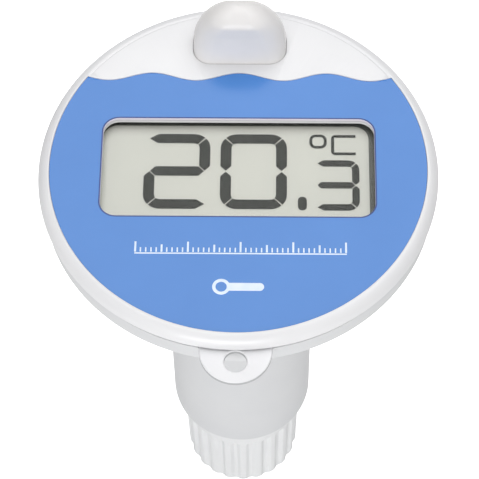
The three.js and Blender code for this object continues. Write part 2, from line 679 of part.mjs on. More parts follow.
function displayFrame() {
  const [width, height] = [GLASS_WIDTH + 2 * SLIP, GLASS_HEIGHT + 2 * SLIP];
  const outside = roundedRectangle(width + 2 * FRAME_WALL, height + 2 * FRAME_WALL, 2, WINDOW_Y);
  const inside = roundedRectangle(width, height, 0.5, WINDOW_Y);
  return prism(outside, FRAME_BOTTOM, GLASS_TOP).subtract(prism(inside, FRAME_BOTTOM - 1, 0));
}

function connectorStrip(side) {
  const y = WINDOW_Y + side * (GLASS_HEIGHT / 2 - STRIP_INSET);
  const half = GLASS_WIDTH / 2 - STRIP_INSET;
  const across = [y - STRIP_WIDTH / 2, y + STRIP_WIDTH / 2];
  return block([-half, half], across, [BOARD_TOP + GLUE, GLASS_BOTTOM - GLUE]);
}

function mainBoard() {
  const sheet = block(
    [-BOARD_HALF_X, BOARD_HALF_X],
    [WINDOW_Y - BOARD_HALF_Y, WINDOW_Y + BOARD_HALF_Y],
    [BOARD_BOTTOM, BOARD_TOP],
  );
  const disc = cylinder(BOARD_RADIUS, BOARD_BOTTOM - 1, BOARD_TOP + 1, [0, 0], ROUND);
  const hole = cylinder(BOARD_SCREW + SLIP, BOARD_BOTTOM - 1, BOARD_TOP + 1);
  const holes = BOARD_SCREW_PLACES.map(([x, y]) => hole.translate([x, y, 0]));
  return cutBy(sheet.intersect(disc), holes);
}

// A flat part that hangs under the main board.
function underBoard([x, y], [width, length, height], corner = 0.4) {
  const outline = roundedRectangle(width, length, corner);
  return prism(outline, -height, 0).translate([x, y, BOARD_BOTTOM - GLUE]);
}

// ---------------------------------------------------------------- battery carrier
function carrier() {
  const spineHalf = SPINE_WIDTH / 2;
  const floor = cylinder(CARRIER_RADIUS, CARRIER_BOTTOM, CARRIER_FLOOR, [0, 0], 36);
  const ceiling = cylinder(CARRIER_RADIUS, CARRIER_CEILING, CARRIER_TOP, [0, 0], 36);
  const spine = block([-spineHalf, spineHalf], [SPINE_Y, SPINE_Y + SPINE_WALL], [CARRIER_BOTTOM, CARRIER_TOP]);
  const ribbonHalf = RIBBON_WIDTH / 2 + SLIP;
  const slot = [RIBBON_Y - SLIP + 0.01, RIBBON_Y + RIBBON + SLIP];
  const tagSlots = [-1, 1].map((side) =>
    block(
      [side * TAG_X - TAG_WIDTH / 2 - SLIP, side * TAG_X + TAG_WIDTH / 2 + SLIP],
      [CELL_Y - CONTACT / 2 - SLIP, CELL_Y + CONTACT / 2 + SLIP],
      [CARRIER_CEILING - 1, CARRIER_TOP + 1],
    ),
  );
  return cutBy(joined([floor, ceiling, spine]), [
    block([-ribbonHalf, ribbonHalf], slot, [CARRIER_BOTTOM - 1, CARRIER_TOP + 1]),
    cylinder(LEAD_RADIUS + SLIP, CARRIER_CEILING - 1, CARRIER_TOP + 1, [0, PROBE_Y]),
    ...tagSlots,
  ]);
}

// A cell with its positive nub up, standing on z = 0.
const cell = () =>
  turned(
    [
      [0, 0],
      [CELL_RADIUS - 0.5, 0],
      [CELL_RADIUS, 0.5],
      [CELL_RADIUS, CELL_LENGTH - CELL_NUB - 0.5],
      [CELL_RADIUS - 0.5, CELL_LENGTH - CELL_NUB],
      [CELL_NUB_RADIUS, CELL_LENGTH - CELL_NUB],
      [CELL_NUB_RADIUS, CELL_LENGTH],
      [0, CELL_LENGTH],
    ],
    28,
  );

const contactSpring = () =>
  wire(new Coil(SPRING_BASE, SPRING_TIP, SPRING_TURNS, SPRING_LENGTH - 2 * SPRING_WIRE), SPRING_WIRE, 36)
    .translate([0, 0, SPRING_WIRE]);

const contactBridge = () =>
  prism(roundedRectangle(2 * (CELL_X + SPRING_BASE + 0.6), 10, 2, CELL_Y), BRIDGE_TOP - CONTACT, BRIDGE_TOP);

// A contact plate above one cell, with a tag that stands up through the carrier's ceiling.
function contactPlate(side) {
  const half = SPRING_BASE + 0.4;
  const plate = block(
    [side * CELL_X - half, side * CELL_X + half],
    [CELL_Y - half, CELL_Y + half],
    [PLATE_LEVEL, PLATE_LEVEL + CONTACT],
  );
  const tag = block(
    [side * TAG_X - TAG_WIDTH / 2, side * TAG_X + TAG_WIDTH / 2],
    [CELL_Y - CONTACT / 2, CELL_Y + CONTACT / 2],
    [PLATE_LEVEL, TAG_TOP],
  );
  return plate.add(tag);
}

const powerWire = (side) =>
  wire(
    throughPoints([
      [side * TAG_X, CELL_Y, TAG_TOP + SLIP],
      [side * TAG_X, CELL_Y, TAG_TOP + 5],
      [side * (TAG_X - 4), CELL_Y - 3, (TAG_TOP + WIRE_TOP) / 2],
      [side * (TAG_X - 6), CELL_Y - 5, WIRE_TOP - 5],
      [side * (TAG_X - 6), CELL_Y - 5, WIRE_TOP],
    ]),
    WIRE_RADIUS,
    18,
    8,
  );

const keyRibbon = () =>
  block([-RIBBON_WIDTH / 2, RIBBON_WIDTH / 2], [RIBBON_Y, RIBBON_Y + RIBBON], [CARRIER_BOTTOM, WIRE_TOP]);

const thermistor = () =>
  turned(
    [
      [0, 0],
      [PROBE_RADIUS * 0.7, 0.4],
      [PROBE_RADIUS, PROBE_RADIUS],
      [PROBE_RADIUS, PROBE_LENGTH - 1],
      [PROBE_RADIUS * 0.6, PROBE_LENGTH],
      [0, PROBE_LENGTH],
    ],
    12,
  );

const thermistorLead = () =>
  wire(
    throughPoints([
      [0, PROBE_Y, PROBE_BOTTOM + PROBE_LENGTH + SLIP],
      [0, PROBE_Y, CARRIER_TOP],
      [0, PROBE_Y, CARRIER_TOP + 8],
      [0, PROBE_Y + 3, WIRE_TOP - 8],
      [0, PROBE_Y + 3, WIRE_TOP],
    ]),
    LEAD_RADIUS,
    20,
  );

// ---------------------------------------------------------------- keys
const keyBoard = () => cylinder(KEY_BOARD_RADIUS, KEY_BOARD_TOP - KEY_BOARD, KEY_BOARD_TOP, [0, 0], 32);

// A press key's body, open below round its button.
function sendKeyBody() {
  const half = KEY_BODY / 2;
  const body = block([KEY_X - half, KEY_X + half], [-half, half], [KEY_BOTTOM, KEY_TOP]);
  return body.subtract(cylinder(BUTTON_RADIUS + SLIP, KEY_BOTTOM - 1, KEY_TOP - KEY_ROOF, [KEY_X, 0]));
}

const sendButton = () =>
  cylinder(BUTTON_RADIUS, KEY_BOTTOM - BUTTON_PROUD, KEY_TOP - KEY_ROOF - BUTTON_TRAVEL - SLIP, [KEY_X, 0]);

// A slide switch's body, with a slot for its slider. The slider rests at the slot's -Y end.
function unitSwitchBody() {
  const half = [SLIDE_BODY_X / 2, SLIDE_BODY_Y / 2];
  const slotHalf = SLIDER_WIDTH / 2 + SLIDER_TRAVEL / 2 + SLIP;
  const body = block([-KEY_X - half[0], -KEY_X + half[0]], [-half[1], half[1]], [KEY_BOTTOM, KEY_TOP]);
  const slotX = [-KEY_X - SLIDER_WIDTH / 2 - SLIP, -KEY_X + SLIDER_WIDTH / 2 + SLIP];
  return body.subtract(block(slotX, [-slotHalf, slotHalf], [KEY_BOTTOM - 1, KEY_TOP - SWITCH_ROOF]));
}

function unitSlider() {
  const half = SLIDER_WIDTH / 2;
  const y = -SLIDER_TRAVEL / 2;
  const levels = [KEY_BOTTOM - SLIDER_PROUD, KEY_TOP - SWITCH_ROOF - SLIP];
  return block([-KEY_X - half, -KEY_X + half], [y - half, y + half], levels);
}

// ---------------------------------------------------------------- screw cap
// The fluted outline: round ridges with shallow round grooves between them.
function flutedOutline() {
  const shape = new THREE.Shape();
  const steps = 4;
  for (let i = 0; i < FLUTES * steps; i++) {
    const phase = ((i % steps) / steps) * 2 * Math.PI;
    const radius = CAP_RADIUS - FLUTE_DEPTH * Math.sin(phase / 2) ** 4;
    const angle = (i / (FLUTES * steps)) * 2 * Math.PI;
    const [x, y] = [radius * Math.cos(angle), radius * Math.sin(angle)];
    if (i === 0) shape.moveTo(x, y);
    else shape.lineTo(x, y);
  }
  shape.closePath();
  return shape;
}

function capGrip() {
  const envelope = turned([
    [0, 0],
    [CAP_RADIUS - CAP_TAPER - CAP_EDGE, 0],
    [CAP_RADIUS - CAP_TAPER - 0.3 * CAP_EDGE, 0.3 * CAP_EDGE],
    [CAP_RADIUS - CAP_TAPER, CAP_EDGE],
    [CAP_RADIUS, FLUTE_TOP],
    [CAP_RADIUS, CAP_HEIGHT],
    [0, CAP_HEIGHT],
  ], CAP_ROUND);
  const collar = turned([
    [0, FLUTE_TOP - FLUTE_DEPTH],
    [FLUTE_RADIUS, FLUTE_TOP - FLUTE_DEPTH],
    [CAP_RADIUS, FLUTE_TOP],
    [CAP_RADIUS, CAP_HEIGHT],
    [0, CAP_HEIGHT],
  ], CAP_ROUND);
  return prism(flutedOutline(), 0, CAP_HEIGHT).intersect(envelope).add(collar);
}

function screwCap() {
  const sealMiddle = CAP_HEIGHT + SEAL_HEIGHT;
  const sealHalf = SEAL_SECTION + SLIP;
  const neck = turned([
    [0, CAP_HEIGHT - OVERLAP],
    [CAP_NECK_RADIUS, CAP_HEIGHT - OVERLAP],
    [CAP_NECK_RADIUS, sealMiddle - sealHalf],
    [SEAL_ROOT, sealMiddle - sealHalf],
    [SEAL_ROOT, sealMiddle + sealHalf],
    [CAP_NECK_RADIUS, sealMiddle + sealHalf],
    [CAP_NECK_RADIUS, CAP_NECK_TOP],
    [0, CAP_NECK_TOP],
  ], CAP_ROUND);
  const ridge = threadRidge(CAP_NECK_RADIUS, THREAD_HEIGHT, THREAD_LOW + THREAD_PITCH / 2);
  const bore = cylinder(CAP_NECK_BORE, CAP_FLOOR, CAP_NECK_TOP + 1, [0, 0], 32);
  return joined([capGrip().rotate([0, 0, FLUTE_TURN]), neck, ridge]).subtract(bore);
}

const capSeal = () => roundRing(SEAL_RADIUS, SEAL_SECTION, CAP_HEIGHT + SEAL_HEIGHT, 36);

// ---------------------------------------------------------------- assembly
// The head's pieces are drawn with the face at z = 0, so their group stands at the face's height.
function headGroup() {
  const group = new THREE.Group();
  group.position.z = FACE_HEIGHT;
  group.add(
    piece("upper_shell", "white", upperShell()),
    piece("face_plate", "blue", facePlate()),
    piece("window_lens", "clear", windowLens()),
    piece("antenna_dome", "frosted", antennaDome()),
    piece("dome_gasket", "rubber", domeGasket()),
    piece("antenna_coil", "copper", aerial(), [0, DOME_Y, 0]),
    piece("lower_shell", "grey", lowerShell()),
    piece("tether_tab", "white", tetherTab()),
    piece("head_seal", "rubber", headSeal()),
    piece("lcd_glass", "display", displayGlass()),
    piece("lcd_frame", "black", displayFrame()),
    piece("connector_strip_front", "silicone", connectorStrip(-1)),
    piece("connector_strip_rear", "silicone", connectorStrip(1)),
    piece("main_board", "board", mainBoard()),
    piece("control_chip", "chip", underBoard([-9, 2], [10, 10, 1.2])),
    piece("radio_module", "steel", underBoard([2, 17.5], [15, 9, 2.2])),
    piece("crystal_can", "steel", underBoard([3, 5], [3, 7.5, 2.4], 1.4)),
  );
  const seat = SEAT - GLUE - WASHER_THICKNESS;
  CASE_SCREW_PLACES.forEach(([x, y], i) => {
    const screw = panScrew(CASE_SCREW, CASE_HEAD, CASE_HEAD_HEIGHT, POST_LENGTH + SEAT_WALL - 1.5, SMALL_ROUND);
    group.add(
      piece(`case_screw_${i + 1}`, "steel", screw, [x, y, seat - GLUE]),
      piece(`screw_washer_${i + 1}`, "rubber", sealingWasher(), [x, y, SEAT - GLUE]),
    );
  });
  BOARD_SCREW_PLACES.forEach(([x, y], i) => {
    const screw = panScrew(BOARD_SCREW, 1.7, 1.1, BOARD_THICKNESS + 3.5, 12);
    group.add(piece(`board_screw_${i + 1}`, "steel", screw, [x, y, BOARD_BOTTOM - GLUE]));
  });
  return group;
}

function stemGroup() {
  const group = new THREE.Group();
  const turnedOver = piece("battery_2", "cell", cell(), [CELL_X, CELL_Y, LOW_CELL + CELL_LENGTH]);
  turnedOver.rotation.x = Math.PI;
  const upperSpring = piece("contact_spring_2", "steel", contactSpring(), [CELL_X, CELL_Y, PLATE_LEVEL - GLUE]);
  upperSpring.rotation.x = Math.PI;
  group.add(
    piece("battery_carrier", "black", carrier()),
    piece("battery_1", "cell", cell(), [-CELL_X, CELL_Y, HIGH_CELL]),
    turnedOver,
    piece("contact_spring_1", "steel", contactSpring(), [-CELL_X, CELL_Y, BRIDGE_TOP + GLUE]),
    upperSpring,
    piece("contact_bridge", "steel", contactBridge()),
    piece("contact_plate_positive", "steel", contactPlate(-1)),
    piece("contact_plate_negative", "steel", contactPlate(1)),
    piece("power_wire_red", "red", powerWire(-1)),
    piece("power_wire_black", "black", powerWire(1)),
    piece("key_ribbon", "ribbon", keyRibbon()),
    piece("thermistor", "chip", thermistor(), [0, PROBE_Y, PROBE_BOTTOM]),
    piece("thermistor_lead", "black", thermistorLead()),
    piece("key_board", "board", keyBoard()),
    piece("send_key_body", "black", sendKeyBody()),
    piece("send_button", "white", sendButton()),
    piece("unit_switch_body", "steel", unitSwitchBody()),
    piece("unit_slider", "black", unitSlider()),
  );
  return group;
}

function capGroup() {
  const group = new THREE.Group();
  group.add(piece("cap_seal", "rubber", capSeal()), piece("screw_cap", "grey", screwCap()));
  return group;
}

const thermometer = new THREE.Group();
thermometer.add(headGroup(), stemGroup(), capGroup());

export default thermometer;
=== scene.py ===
# %% [markdown]
# # A floating pool thermometer
# This lesson gives a floating thermometer its finished surfaces. The engineering model comes in as a fixed
# frame, and each piece that shows is then rebuilt with fine curves round it, or painted with a new finish.
# Everything is in metres, +Z runs up the stem to the display face, and -Y is the side with the tether tab.

# %% Load the frame
import math

import bmesh
import bpy
from mathutils import Matrix, Vector


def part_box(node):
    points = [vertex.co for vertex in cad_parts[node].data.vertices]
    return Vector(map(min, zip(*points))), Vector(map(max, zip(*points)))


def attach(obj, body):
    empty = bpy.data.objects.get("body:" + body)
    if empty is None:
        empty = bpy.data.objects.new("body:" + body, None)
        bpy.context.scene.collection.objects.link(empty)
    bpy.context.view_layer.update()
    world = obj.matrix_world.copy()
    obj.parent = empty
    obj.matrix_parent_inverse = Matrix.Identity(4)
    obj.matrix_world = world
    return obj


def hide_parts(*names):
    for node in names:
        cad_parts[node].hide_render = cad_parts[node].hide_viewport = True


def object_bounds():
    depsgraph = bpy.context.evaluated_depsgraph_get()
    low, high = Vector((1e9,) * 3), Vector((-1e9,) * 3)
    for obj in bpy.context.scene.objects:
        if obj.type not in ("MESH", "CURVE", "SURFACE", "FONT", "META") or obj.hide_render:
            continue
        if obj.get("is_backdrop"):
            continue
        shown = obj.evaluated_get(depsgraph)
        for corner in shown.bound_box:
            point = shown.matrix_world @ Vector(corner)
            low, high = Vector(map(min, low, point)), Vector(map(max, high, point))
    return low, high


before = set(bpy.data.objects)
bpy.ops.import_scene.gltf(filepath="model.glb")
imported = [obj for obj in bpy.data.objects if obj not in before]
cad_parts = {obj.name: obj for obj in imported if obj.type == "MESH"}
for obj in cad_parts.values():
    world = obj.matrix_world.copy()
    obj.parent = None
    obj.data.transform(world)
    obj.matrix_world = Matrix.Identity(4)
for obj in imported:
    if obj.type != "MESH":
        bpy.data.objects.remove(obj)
cad_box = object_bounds()
print("nodes:", len(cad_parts))

# %% [markdown]
# ## Sizes
# Lengths are easier to read in millimetres, so the shapes below are drawn in them and turned to metres when
# a mesh is made. The places of the pieces come from the frame: the height of the face, the size of the head
# and the box round each piece.

# %% Read the sizes that the pieces share
MM = 0.001


def box_mm(name):
    low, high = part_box(name)
    return low / MM, high / MM


shell_high = box_mm("upper_shell")[1]
FACE, HEAD = shell_high.z, shell_high.x  # height of the display face and radius of the head's rim
plate_low, plate_high = box_mm("face_plate")
dome_low, dome_high = box_mm("antenna_dome")
glass_low, glass_high = box_mm("lcd_glass")
lens_low, lens_high = box_mm("window_lens")
tab_low, tab_high = box_mm("tether_tab")
cap_high = box_mm("screw_cap")[1]
mouth = box_mm("lower_shell")[0].z  # height of the stem's open end
print(f"face at {FACE:.1f} mm, head radius {HEAD:.1f} mm, cap neck top at {cap_high.z:.1f} mm")

# %% [markdown]
# ## Tools for shapes
# Most of this object is turned or moulded, so three tools make nearly all of it: a profile turned about the
# stem, a flat plate with soft edges, and a cut. Sharp corners never look moulded, so one function rounds the
# corners of any outline before it is used.

# %% Round the corners of an outline


def softened(corners, steps=4, closed=True):
    """An outline whose corners (x, y, radius) are replaced by arcs."""
    points = []
    count = len(corners)
    for i, (x, y, radius) in enumerate(corners):
        here = Vector((x, y))
        if radius <= 0 or (not closed and i in (0, count - 1)):
            points.append((x, y))
            continue
        before = Vector(corners[i - 1][:2]) - here
        after = Vector(corners[(i + 1) % count][:2]) - here
        turn = before.angle(after)
        reach = min(radius / math.tan(turn / 2), 0.49 * before.length, 0.49 * after.length)
        start, end = here + before.normalized() * reach, here + after.normalized() * reach
        for k in range(steps + 1):
            t = k / steps
            p = (1 - t) ** 2 * start + 2 * t * (1 - t) * here + t**2 * end
            points.append((p.x, p.y))
    return points


# %% Make a mesh object from points in millimetres


DOUBLED = 0.002  # points closer than this, in millimetres, are one point


def placed(name, data):
    """A new object in the scene that shows the data."""
    made = bpy.data.objects.new(name, data)
    bpy.context.scene.collection.objects.link(made)
    return made


def mesh_object(name, points, faces):
    mesh = bpy.data.meshes.new(name)
    mesh.from_pydata([Vector(p) * MM for p in points], [], faces)
    mesh.update()
    return placed(name, mesh)


def finished_mesh(made):
    """The object's shape with its modifiers applied, as a new mesh."""
    return bpy.data.meshes.new_from_object(made.evaluated_get(bpy.context.evaluated_depsgraph_get()))


def tidy_mesh(made, angle=30):
    """Merges doubled points, turns the faces outwards and smooths all but the real edges."""
    work = bmesh.new()
    work.from_mesh(made.data)
    bmesh.ops.remove_doubles(work, verts=work.verts, dist=DOUBLED * MM)
    bmesh.ops.recalc_face_normals(work, faces=work.faces)
    work.to_mesh(made.data)
    work.free()
    for face in made.data.polygons:
        face.use_smooth = True
    made.data.set_sharp_from_angle(angle=math.radians(angle))
    return made


def flat_faced(made):
    """Lets the large faces set the shading, so that only the small round edges look round."""
    change = made.modifiers.new("flat_faces", "WEIGHTED_NORMAL")
    change.weight, change.keep_sharp = 100, True
    return made


# %% Turn a profile about the stem


def turned(name, profile, sides=192, closed=True, centre=(0, 0)):
    """A turned solid. The profile is (radius, height) points in millimetres."""
    rows = len(profile)
    points, faces = [], []
    for i in range(sides):
        angle = 2 * math.pi * i / sides
        x, y = math.cos(angle), math.sin(angle)
        points += [(centre[0] + radius * x, centre[1] + radius * y, height) for radius, height in profile]
    for i in range(sides):
        a, b = i * rows, ((i + 1) % sides) * rows
        for k in range(rows if closed else rows - 1):
            n = (k + 1) % rows
            faces.append((a + k, b + k, b + n, a + n))
    return tidy_mesh(mesh_object(name, points, faces))


def rod(name, radius, top, bottom, sides, centre):
    """A plain round solid, such as a boss or the tool that cuts a hole."""
    profile = [(0, top), (radius, top), (radius, bottom), (0, bottom)]
    return turned(name, profile, sides, False, centre)


# %% Make a flat plate with soft edges


def plate(name, outlines, bottom, top, edge=0.1, steps=2):
    """A flat plate in millimetres. An outline inside another is a hole in it."""
    curve = bpy.data.curves.new(name, "CURVE")
    curve.dimensions, curve.fill_mode = "2D", "BOTH"
    half = (top - bottom) / 2
    edge = min(edge, half * 0.98)
    curve.extrude, curve.bevel_depth = (half - edge) * MM, edge * MM
    curve.offset, curve.bevel_resolution = -edge * MM, steps
    for outline in outlines:
        line = curve.splines.new("POLY")
        line.points.add(len(outline) - 1)
        line.use_cyclic_u = True
        for point, (x, y) in zip(line.points, outline):
            point.co = (x * MM, y * MM, 0, 1)
    drawn = placed(name + "_outline", curve)
    mesh = finished_mesh(drawn)
    bpy.data.objects.remove(drawn)
    mesh.transform(Matrix.Translation((0, 0, (top + bottom) / 2 * MM)))
    return flat_faced(tidy_mesh(placed(name, mesh), angle=50))


# %% Cut or join two solids


def combined(made, tool, how="DIFFERENCE"):
    """made with tool cut from it, or joined to it. The tool is used up."""
    change = made.modifiers.new("combine", "BOOLEAN")
    change.operation, change.object, change.solver = how, tool, "EXACT"
    bpy.context.view_layer.update()
    mesh = finished_mesh(made)
    made.modifiers.clear()
    made.data = mesh
    bpy.data.objects.remove(tool)
    return tidy_mesh(made)


def joined(name, parts):
    """Several objects as one, without cutting them against each other."""
    points, faces = [], []
    for part in parts:
        start = len(points)
        points += [v.co / MM for v in part.data.vertices]
        faces += [[start + k for k in face.vertices] for face in part.data.polygons]
        bpy.data.objects.remove(part)
    return tidy_mesh(mesh_object(name, points, faces))


def edged(made, width, steps=2):
    """Small round edges wherever faces meet at an angle."""
    change = made.modifiers.new("edge", "BEVEL")
    change.width, change.segments, change.limit_method = width * MM, steps, "ANGLE"
    change.angle_limit = math.radians(35)
    change.harden_normals = True
    return made


# %% Outlines that several pieces share


def arc(x, y, radius, start, end, steps=8):
    return [
        (x + radius * math.cos(math.radians(a)), y + radius * math.sin(math.radians(a)))
        for a in (start + (end - start) * k / steps for k in range(steps + 1))
    ]


def rectangle(x0, x1, y0, y1):
    return [(x0, y0), (x1, y0), (x1, y1), (x0, y1)]


def round_box(x0, x1, y0, y1, radius, steps=8):
    return (
        arc(x1 - radius, y1 - radius, radius, 0, 90, steps)
        + arc(x0 + radius, y1 - radius, radius, 90, 180, steps)
        + arc(x0 + radius, y0 + radius, radius, 180, 270, steps)
        + arc(x1 - radius, y0 + radius, radius, 270, 360, steps)
    )


# %% [markdown]
# ## Tools for finishes
# Colours are written as the hex values that a screen shows, and one function turns them to the linear values
# that the renderer works in. One function adds a node. The rest of each finish is its own recipe of nodes.

# %% Colour and node helpers


def linear(hex_colour):
    values = [int(hex_colour[i : i + 2], 16) / 255 for i in (1, 3, 5)]
    return [v / 12.92 if v <= 0.04045 else ((v + 0.055) / 1.055) ** 2.4 for v in values] + [1.0]


def node(tree, kind, values=None, links=None, **settings):
    """Adds a node with its settings, input values and links."""
    made = tree.nodes.new("ShaderNode" + kind)
    for key, value in settings.items():
        setattr(made, key, value)
    for key, value in (values or {}).items():
        made.inputs[key].default_value = value
    for key, source in (links or {}).items():
        tree.links.new(source, made.inputs[key])
    return made


def per_metre(size_mm):
    """The texture scale whose features are about that many millimetres across."""
    return 1 / (size_mm * MM)


def coat(made, material):
    """Gives an object one finish all over."""
    made.data.materials.clear()
    made.data.materials.append(material)


# %% [markdown]
# A moulded surface is never one flat colour. Its tone drifts a little where the melt flowed, its gloss
# changes in patches, and it carries the fine grain of the steel mould. The recipe below has one noise for
# each of these, all sized in millimetres, and every finish starts from it. Each call below gives the darker
# and the lighter colour, the roughness, the width of the drift, then the width and depth of the grain.

# %% The base recipe


def finish(name, low, high, roughness, drift_mm, grain_mm, depth_mm, gloss_drift=0.06, **shader_values):
    """A material whose colour drifts between two hex values and whose grain has a real size and depth."""
    material = bpy.data.materials.new(name)
    material.use_nodes = True
    tree = material.node_tree
    shader = tree.nodes["Principled BSDF"]
    for key, value in shader_values.items():
        shader.inputs[key.replace("_", " ")].default_value = value
    place = node(tree, "TexCoord").outputs["Object"]
    drift = node(tree, "TexNoise", {"Scale": per_metre(drift_mm), "Detail": 3.0}, {"Vector": place})
    tint = node(tree, "ValToRGB", links={"Fac": drift.outputs["Fac"]})
    tint.color_ramp.elements[0].position, tint.color_ramp.elements[1].position = 0.3, 0.7
    tint.color_ramp.elements[0].color, tint.color_ramp.elements[1].color = linear(low), linear(high)
    tree.links.new(tint.outputs["Color"], shader.inputs["Base Color"])
    gloss = node(
        tree,
        "MapRange",
        {"To Min": roughness - gloss_drift, "To Max": roughness + gloss_drift},
        {"Value": drift.outputs["Fac"]},
    )
    tree.links.new(gloss.outputs["Result"], shader.inputs["Roughness"])
    grain = node(tree, "TexNoise", {"Scale": per_metre(grain_mm), "Detail": 2.0}, {"Vector": place})
    bump = node(
        tree, "Bump", {"Strength": 0.8, "Distance": depth_mm * MM}, {"Height": grain.outputs["Fac"]}
    )
    tree.links.new(bump.outputs["Normal"], shader.inputs["Normal"])
    return material


# %% [markdown]
# ## Finishes of the outside
# The float is moulded in ABS, a tough plastic that takes a good gloss from a polished mould. White ABS for
# the face side is a touch brighter than the grey-white of the stem. The dome over the aerial is a frosted
# plastic that lets radio through. Its grain stays fine, so the gloss breaks up softly.

# %% Moulded shells
# ABS: IOR 1.54, satin-gloss from a polished mould. Its grain is about 0.35 mm across, and is drawn a little
# coarser so that it shows. The cap and the tab are separate mouldings, so each has its own tone.
white_abs = finish("white_abs_gloss", "#E0E0E2", "#E6E6E7", 0.30, 30, 0.5, 0.003, IOR=1.54)
grey_abs = finish("pale_grey_abs_satin", "#CDCED0", "#D4D5D6", 0.36, 30, 0.5, 0.004, IOR=1.54)
cap_abs = finish("cap_abs_satin", "#DFE0E1", "#E6E7E7", 0.38, 24, 0.45, 0.005, IOR=1.54)
tab_abs = finish("tab_abs_satin", "#E4E4E6", "#ECECEE", 0.34, 20, 0.5, 0.004, IOR=1.54)
# painted shade: a darker grey for the tab's upright sides, which stands for the shade that falls on them
tab_wall_painted_shade = finish("tab_abs_wall_painted_shade", "#A6A7A9", "#B2B3B5", 0.5, 6, 0.4, 0.006, IOR=1.54)
# frosted polycarbonate: it mirrors less than the clear sheet's IOR of 1.58 would, because its frosting
# scatters light, and light also spreads about a millimetre inside
frosted_dome = finish(
    "frosted_polycarbonate",
    "#E0DEDC",
    "#E6E4E3",
    0.22,
    14,
    0.6,
    0.003,
    IOR=1.5,
    Specular_IOR_Level=0.3,
    Subsurface_Weight=0.25,
    Subsurface_Radius=(0.0012, 0.0012, 0.0012),
    Subsurface_Scale=1.0,
)
print("shell finishes:", *(m.name for m in (white_abs, grey_abs, cap_abs, tab_abs, frosted_dome)))

# %% [markdown]
# The face is a printed plastic sheet: ink screened on a sheet of polystyrene under a clear varnish, so it
# mirrors soft shapes near it. The display is glass with a polariser whose pearly reflector gives the green
# grey of every liquid crystal display.

# %% Face, lens and display
# screen ink: a film about 0.02 mm thick, IOR 1.5, glossy where varnish covers it and matt where it is bare
blue_ink = finish("blue_screen_ink_varnished", "#4280CC", "#4684D0", 0.20, 22, 0.35, 0.0015, 0.03, IOR=1.5)
navy_ink = finish("navy_screen_ink", "#1C3576", "#22408A", 0.3, 6, 0.3, 0.001, IOR=1.5)
pale_ink = finish("pale_screen_ink", "#D8E8FA", "#E6F1FF", 0.4, 3, 0.3, 0.003, IOR=1.5)
# painted shade and reflection: the cut edge's pale mauve-grey tint stands for the window wall in shade with the
# blue face reflected in it
sheet_edge_painted_shade = finish("polystyrene_cut_edge_painted_shade", "#E6DFEA", "#ECE6F0", 0.5, 4, 0.2, 0.004, IOR=1.55)
# painted shadow: the mask ink is dark so that the band of it seen under the window's top and right edges stands
# for the window's shadow
lens_mask_painted_shadow = finish("grey_mask_ink_painted_shadow", "#5C5D5A", "#666762", 0.6, 5, 0.3, 0.002, IOR=1.5)
# polariser film over a pearly reflector: a satin skin whose tone hardly drifts
polariser = finish("lcd_polariser_reflector", "#DAD8D2", "#E2DFD8", 0.45, 45, 0.25, 0.002, 0.03, IOR=1.5)
# a switched-on segment is only dark crystal behind glass, so it has little gloss of its own
crystal_dark = finish(
    "lcd_segment_dark", "#262722", "#2E2F2A", 0.45, 8, 0.25, 0.001, IOR=1.5, Specular_IOR_Level=0.25
)
print("face finishes:", *(m.name for m in (blue_ink, navy_ink, pale_ink, sheet_edge_painted_shade)))
print("display finishes:", *(m.name for m in (lens_mask_painted_shadow, polariser, crystal_dark)))

# %% Clear acrylic
# acrylic sheet: IOR 1.49, polished on both sides. Only its surface mirrors, and the rest lets light through.
# The display behind it already has its own gloss, so the mirror's share is that of a lower IOR.
clear_acrylic = bpy.data.materials.new("clear_acrylic_sheet")
clear_acrylic.use_nodes = True
tree = clear_acrylic.node_tree
surface = tree.nodes["Principled BSDF"]
surface.inputs["Metallic"].default_value = 1.0
surface.inputs["Base Color"].default_value = linear("#FFFFFF")
place = node(tree, "TexCoord").outputs["Object"]
smear = node(tree, "TexNoise", {"Scale": per_metre(9), "Detail": 4.0}, {"Vector": place})
wipe = node(tree, "MapRange", {"To Min": 0.02, "To Max": 0.07}, {"Value": smear.outputs["Fac"]})
tree.links.new(wipe.outputs["Result"], surface.inputs["Roughness"])
clear = node(tree, "BsdfTransparent", {"Color": linear("#FBFCFB")})
mirror_share = node(tree, "Fresnel", {"IOR": 1.2})
through = node(
    tree, "MixShader", links={0: mirror_share.outputs["Fac"], 1: clear.outputs[0], 2: surface.outputs[0]}
)
tree.links.new(through.outputs[0], tree.nodes["Material Output"].inputs["Surface"])
print("lens finish:", clear_acrylic.name)

# %% [markdown]
# ## Finishes of the inside
# Rubber seals, boards, cells, wires and screws sit inside. They are seen when the cap comes off or when the
# model is taken apart, so each has its own surface as well.

# %% Rubber, metal and plastic parts
# nitrile rubber: matt, with a dusty bloom
black_rubber = finish("nitrile_rubber", "#1E1F20", "#2A2B2C", 0.72, 3, 0.15, 0.006, IOR=1.52)
# zinc-plated steel: brushed by the barrel it was plated in
plated_steel = finish("zinc_plated_steel", "#B4B6B9", "#C8CACC", 0.28, 2, 0.08, 0.002, Metallic=1.0)
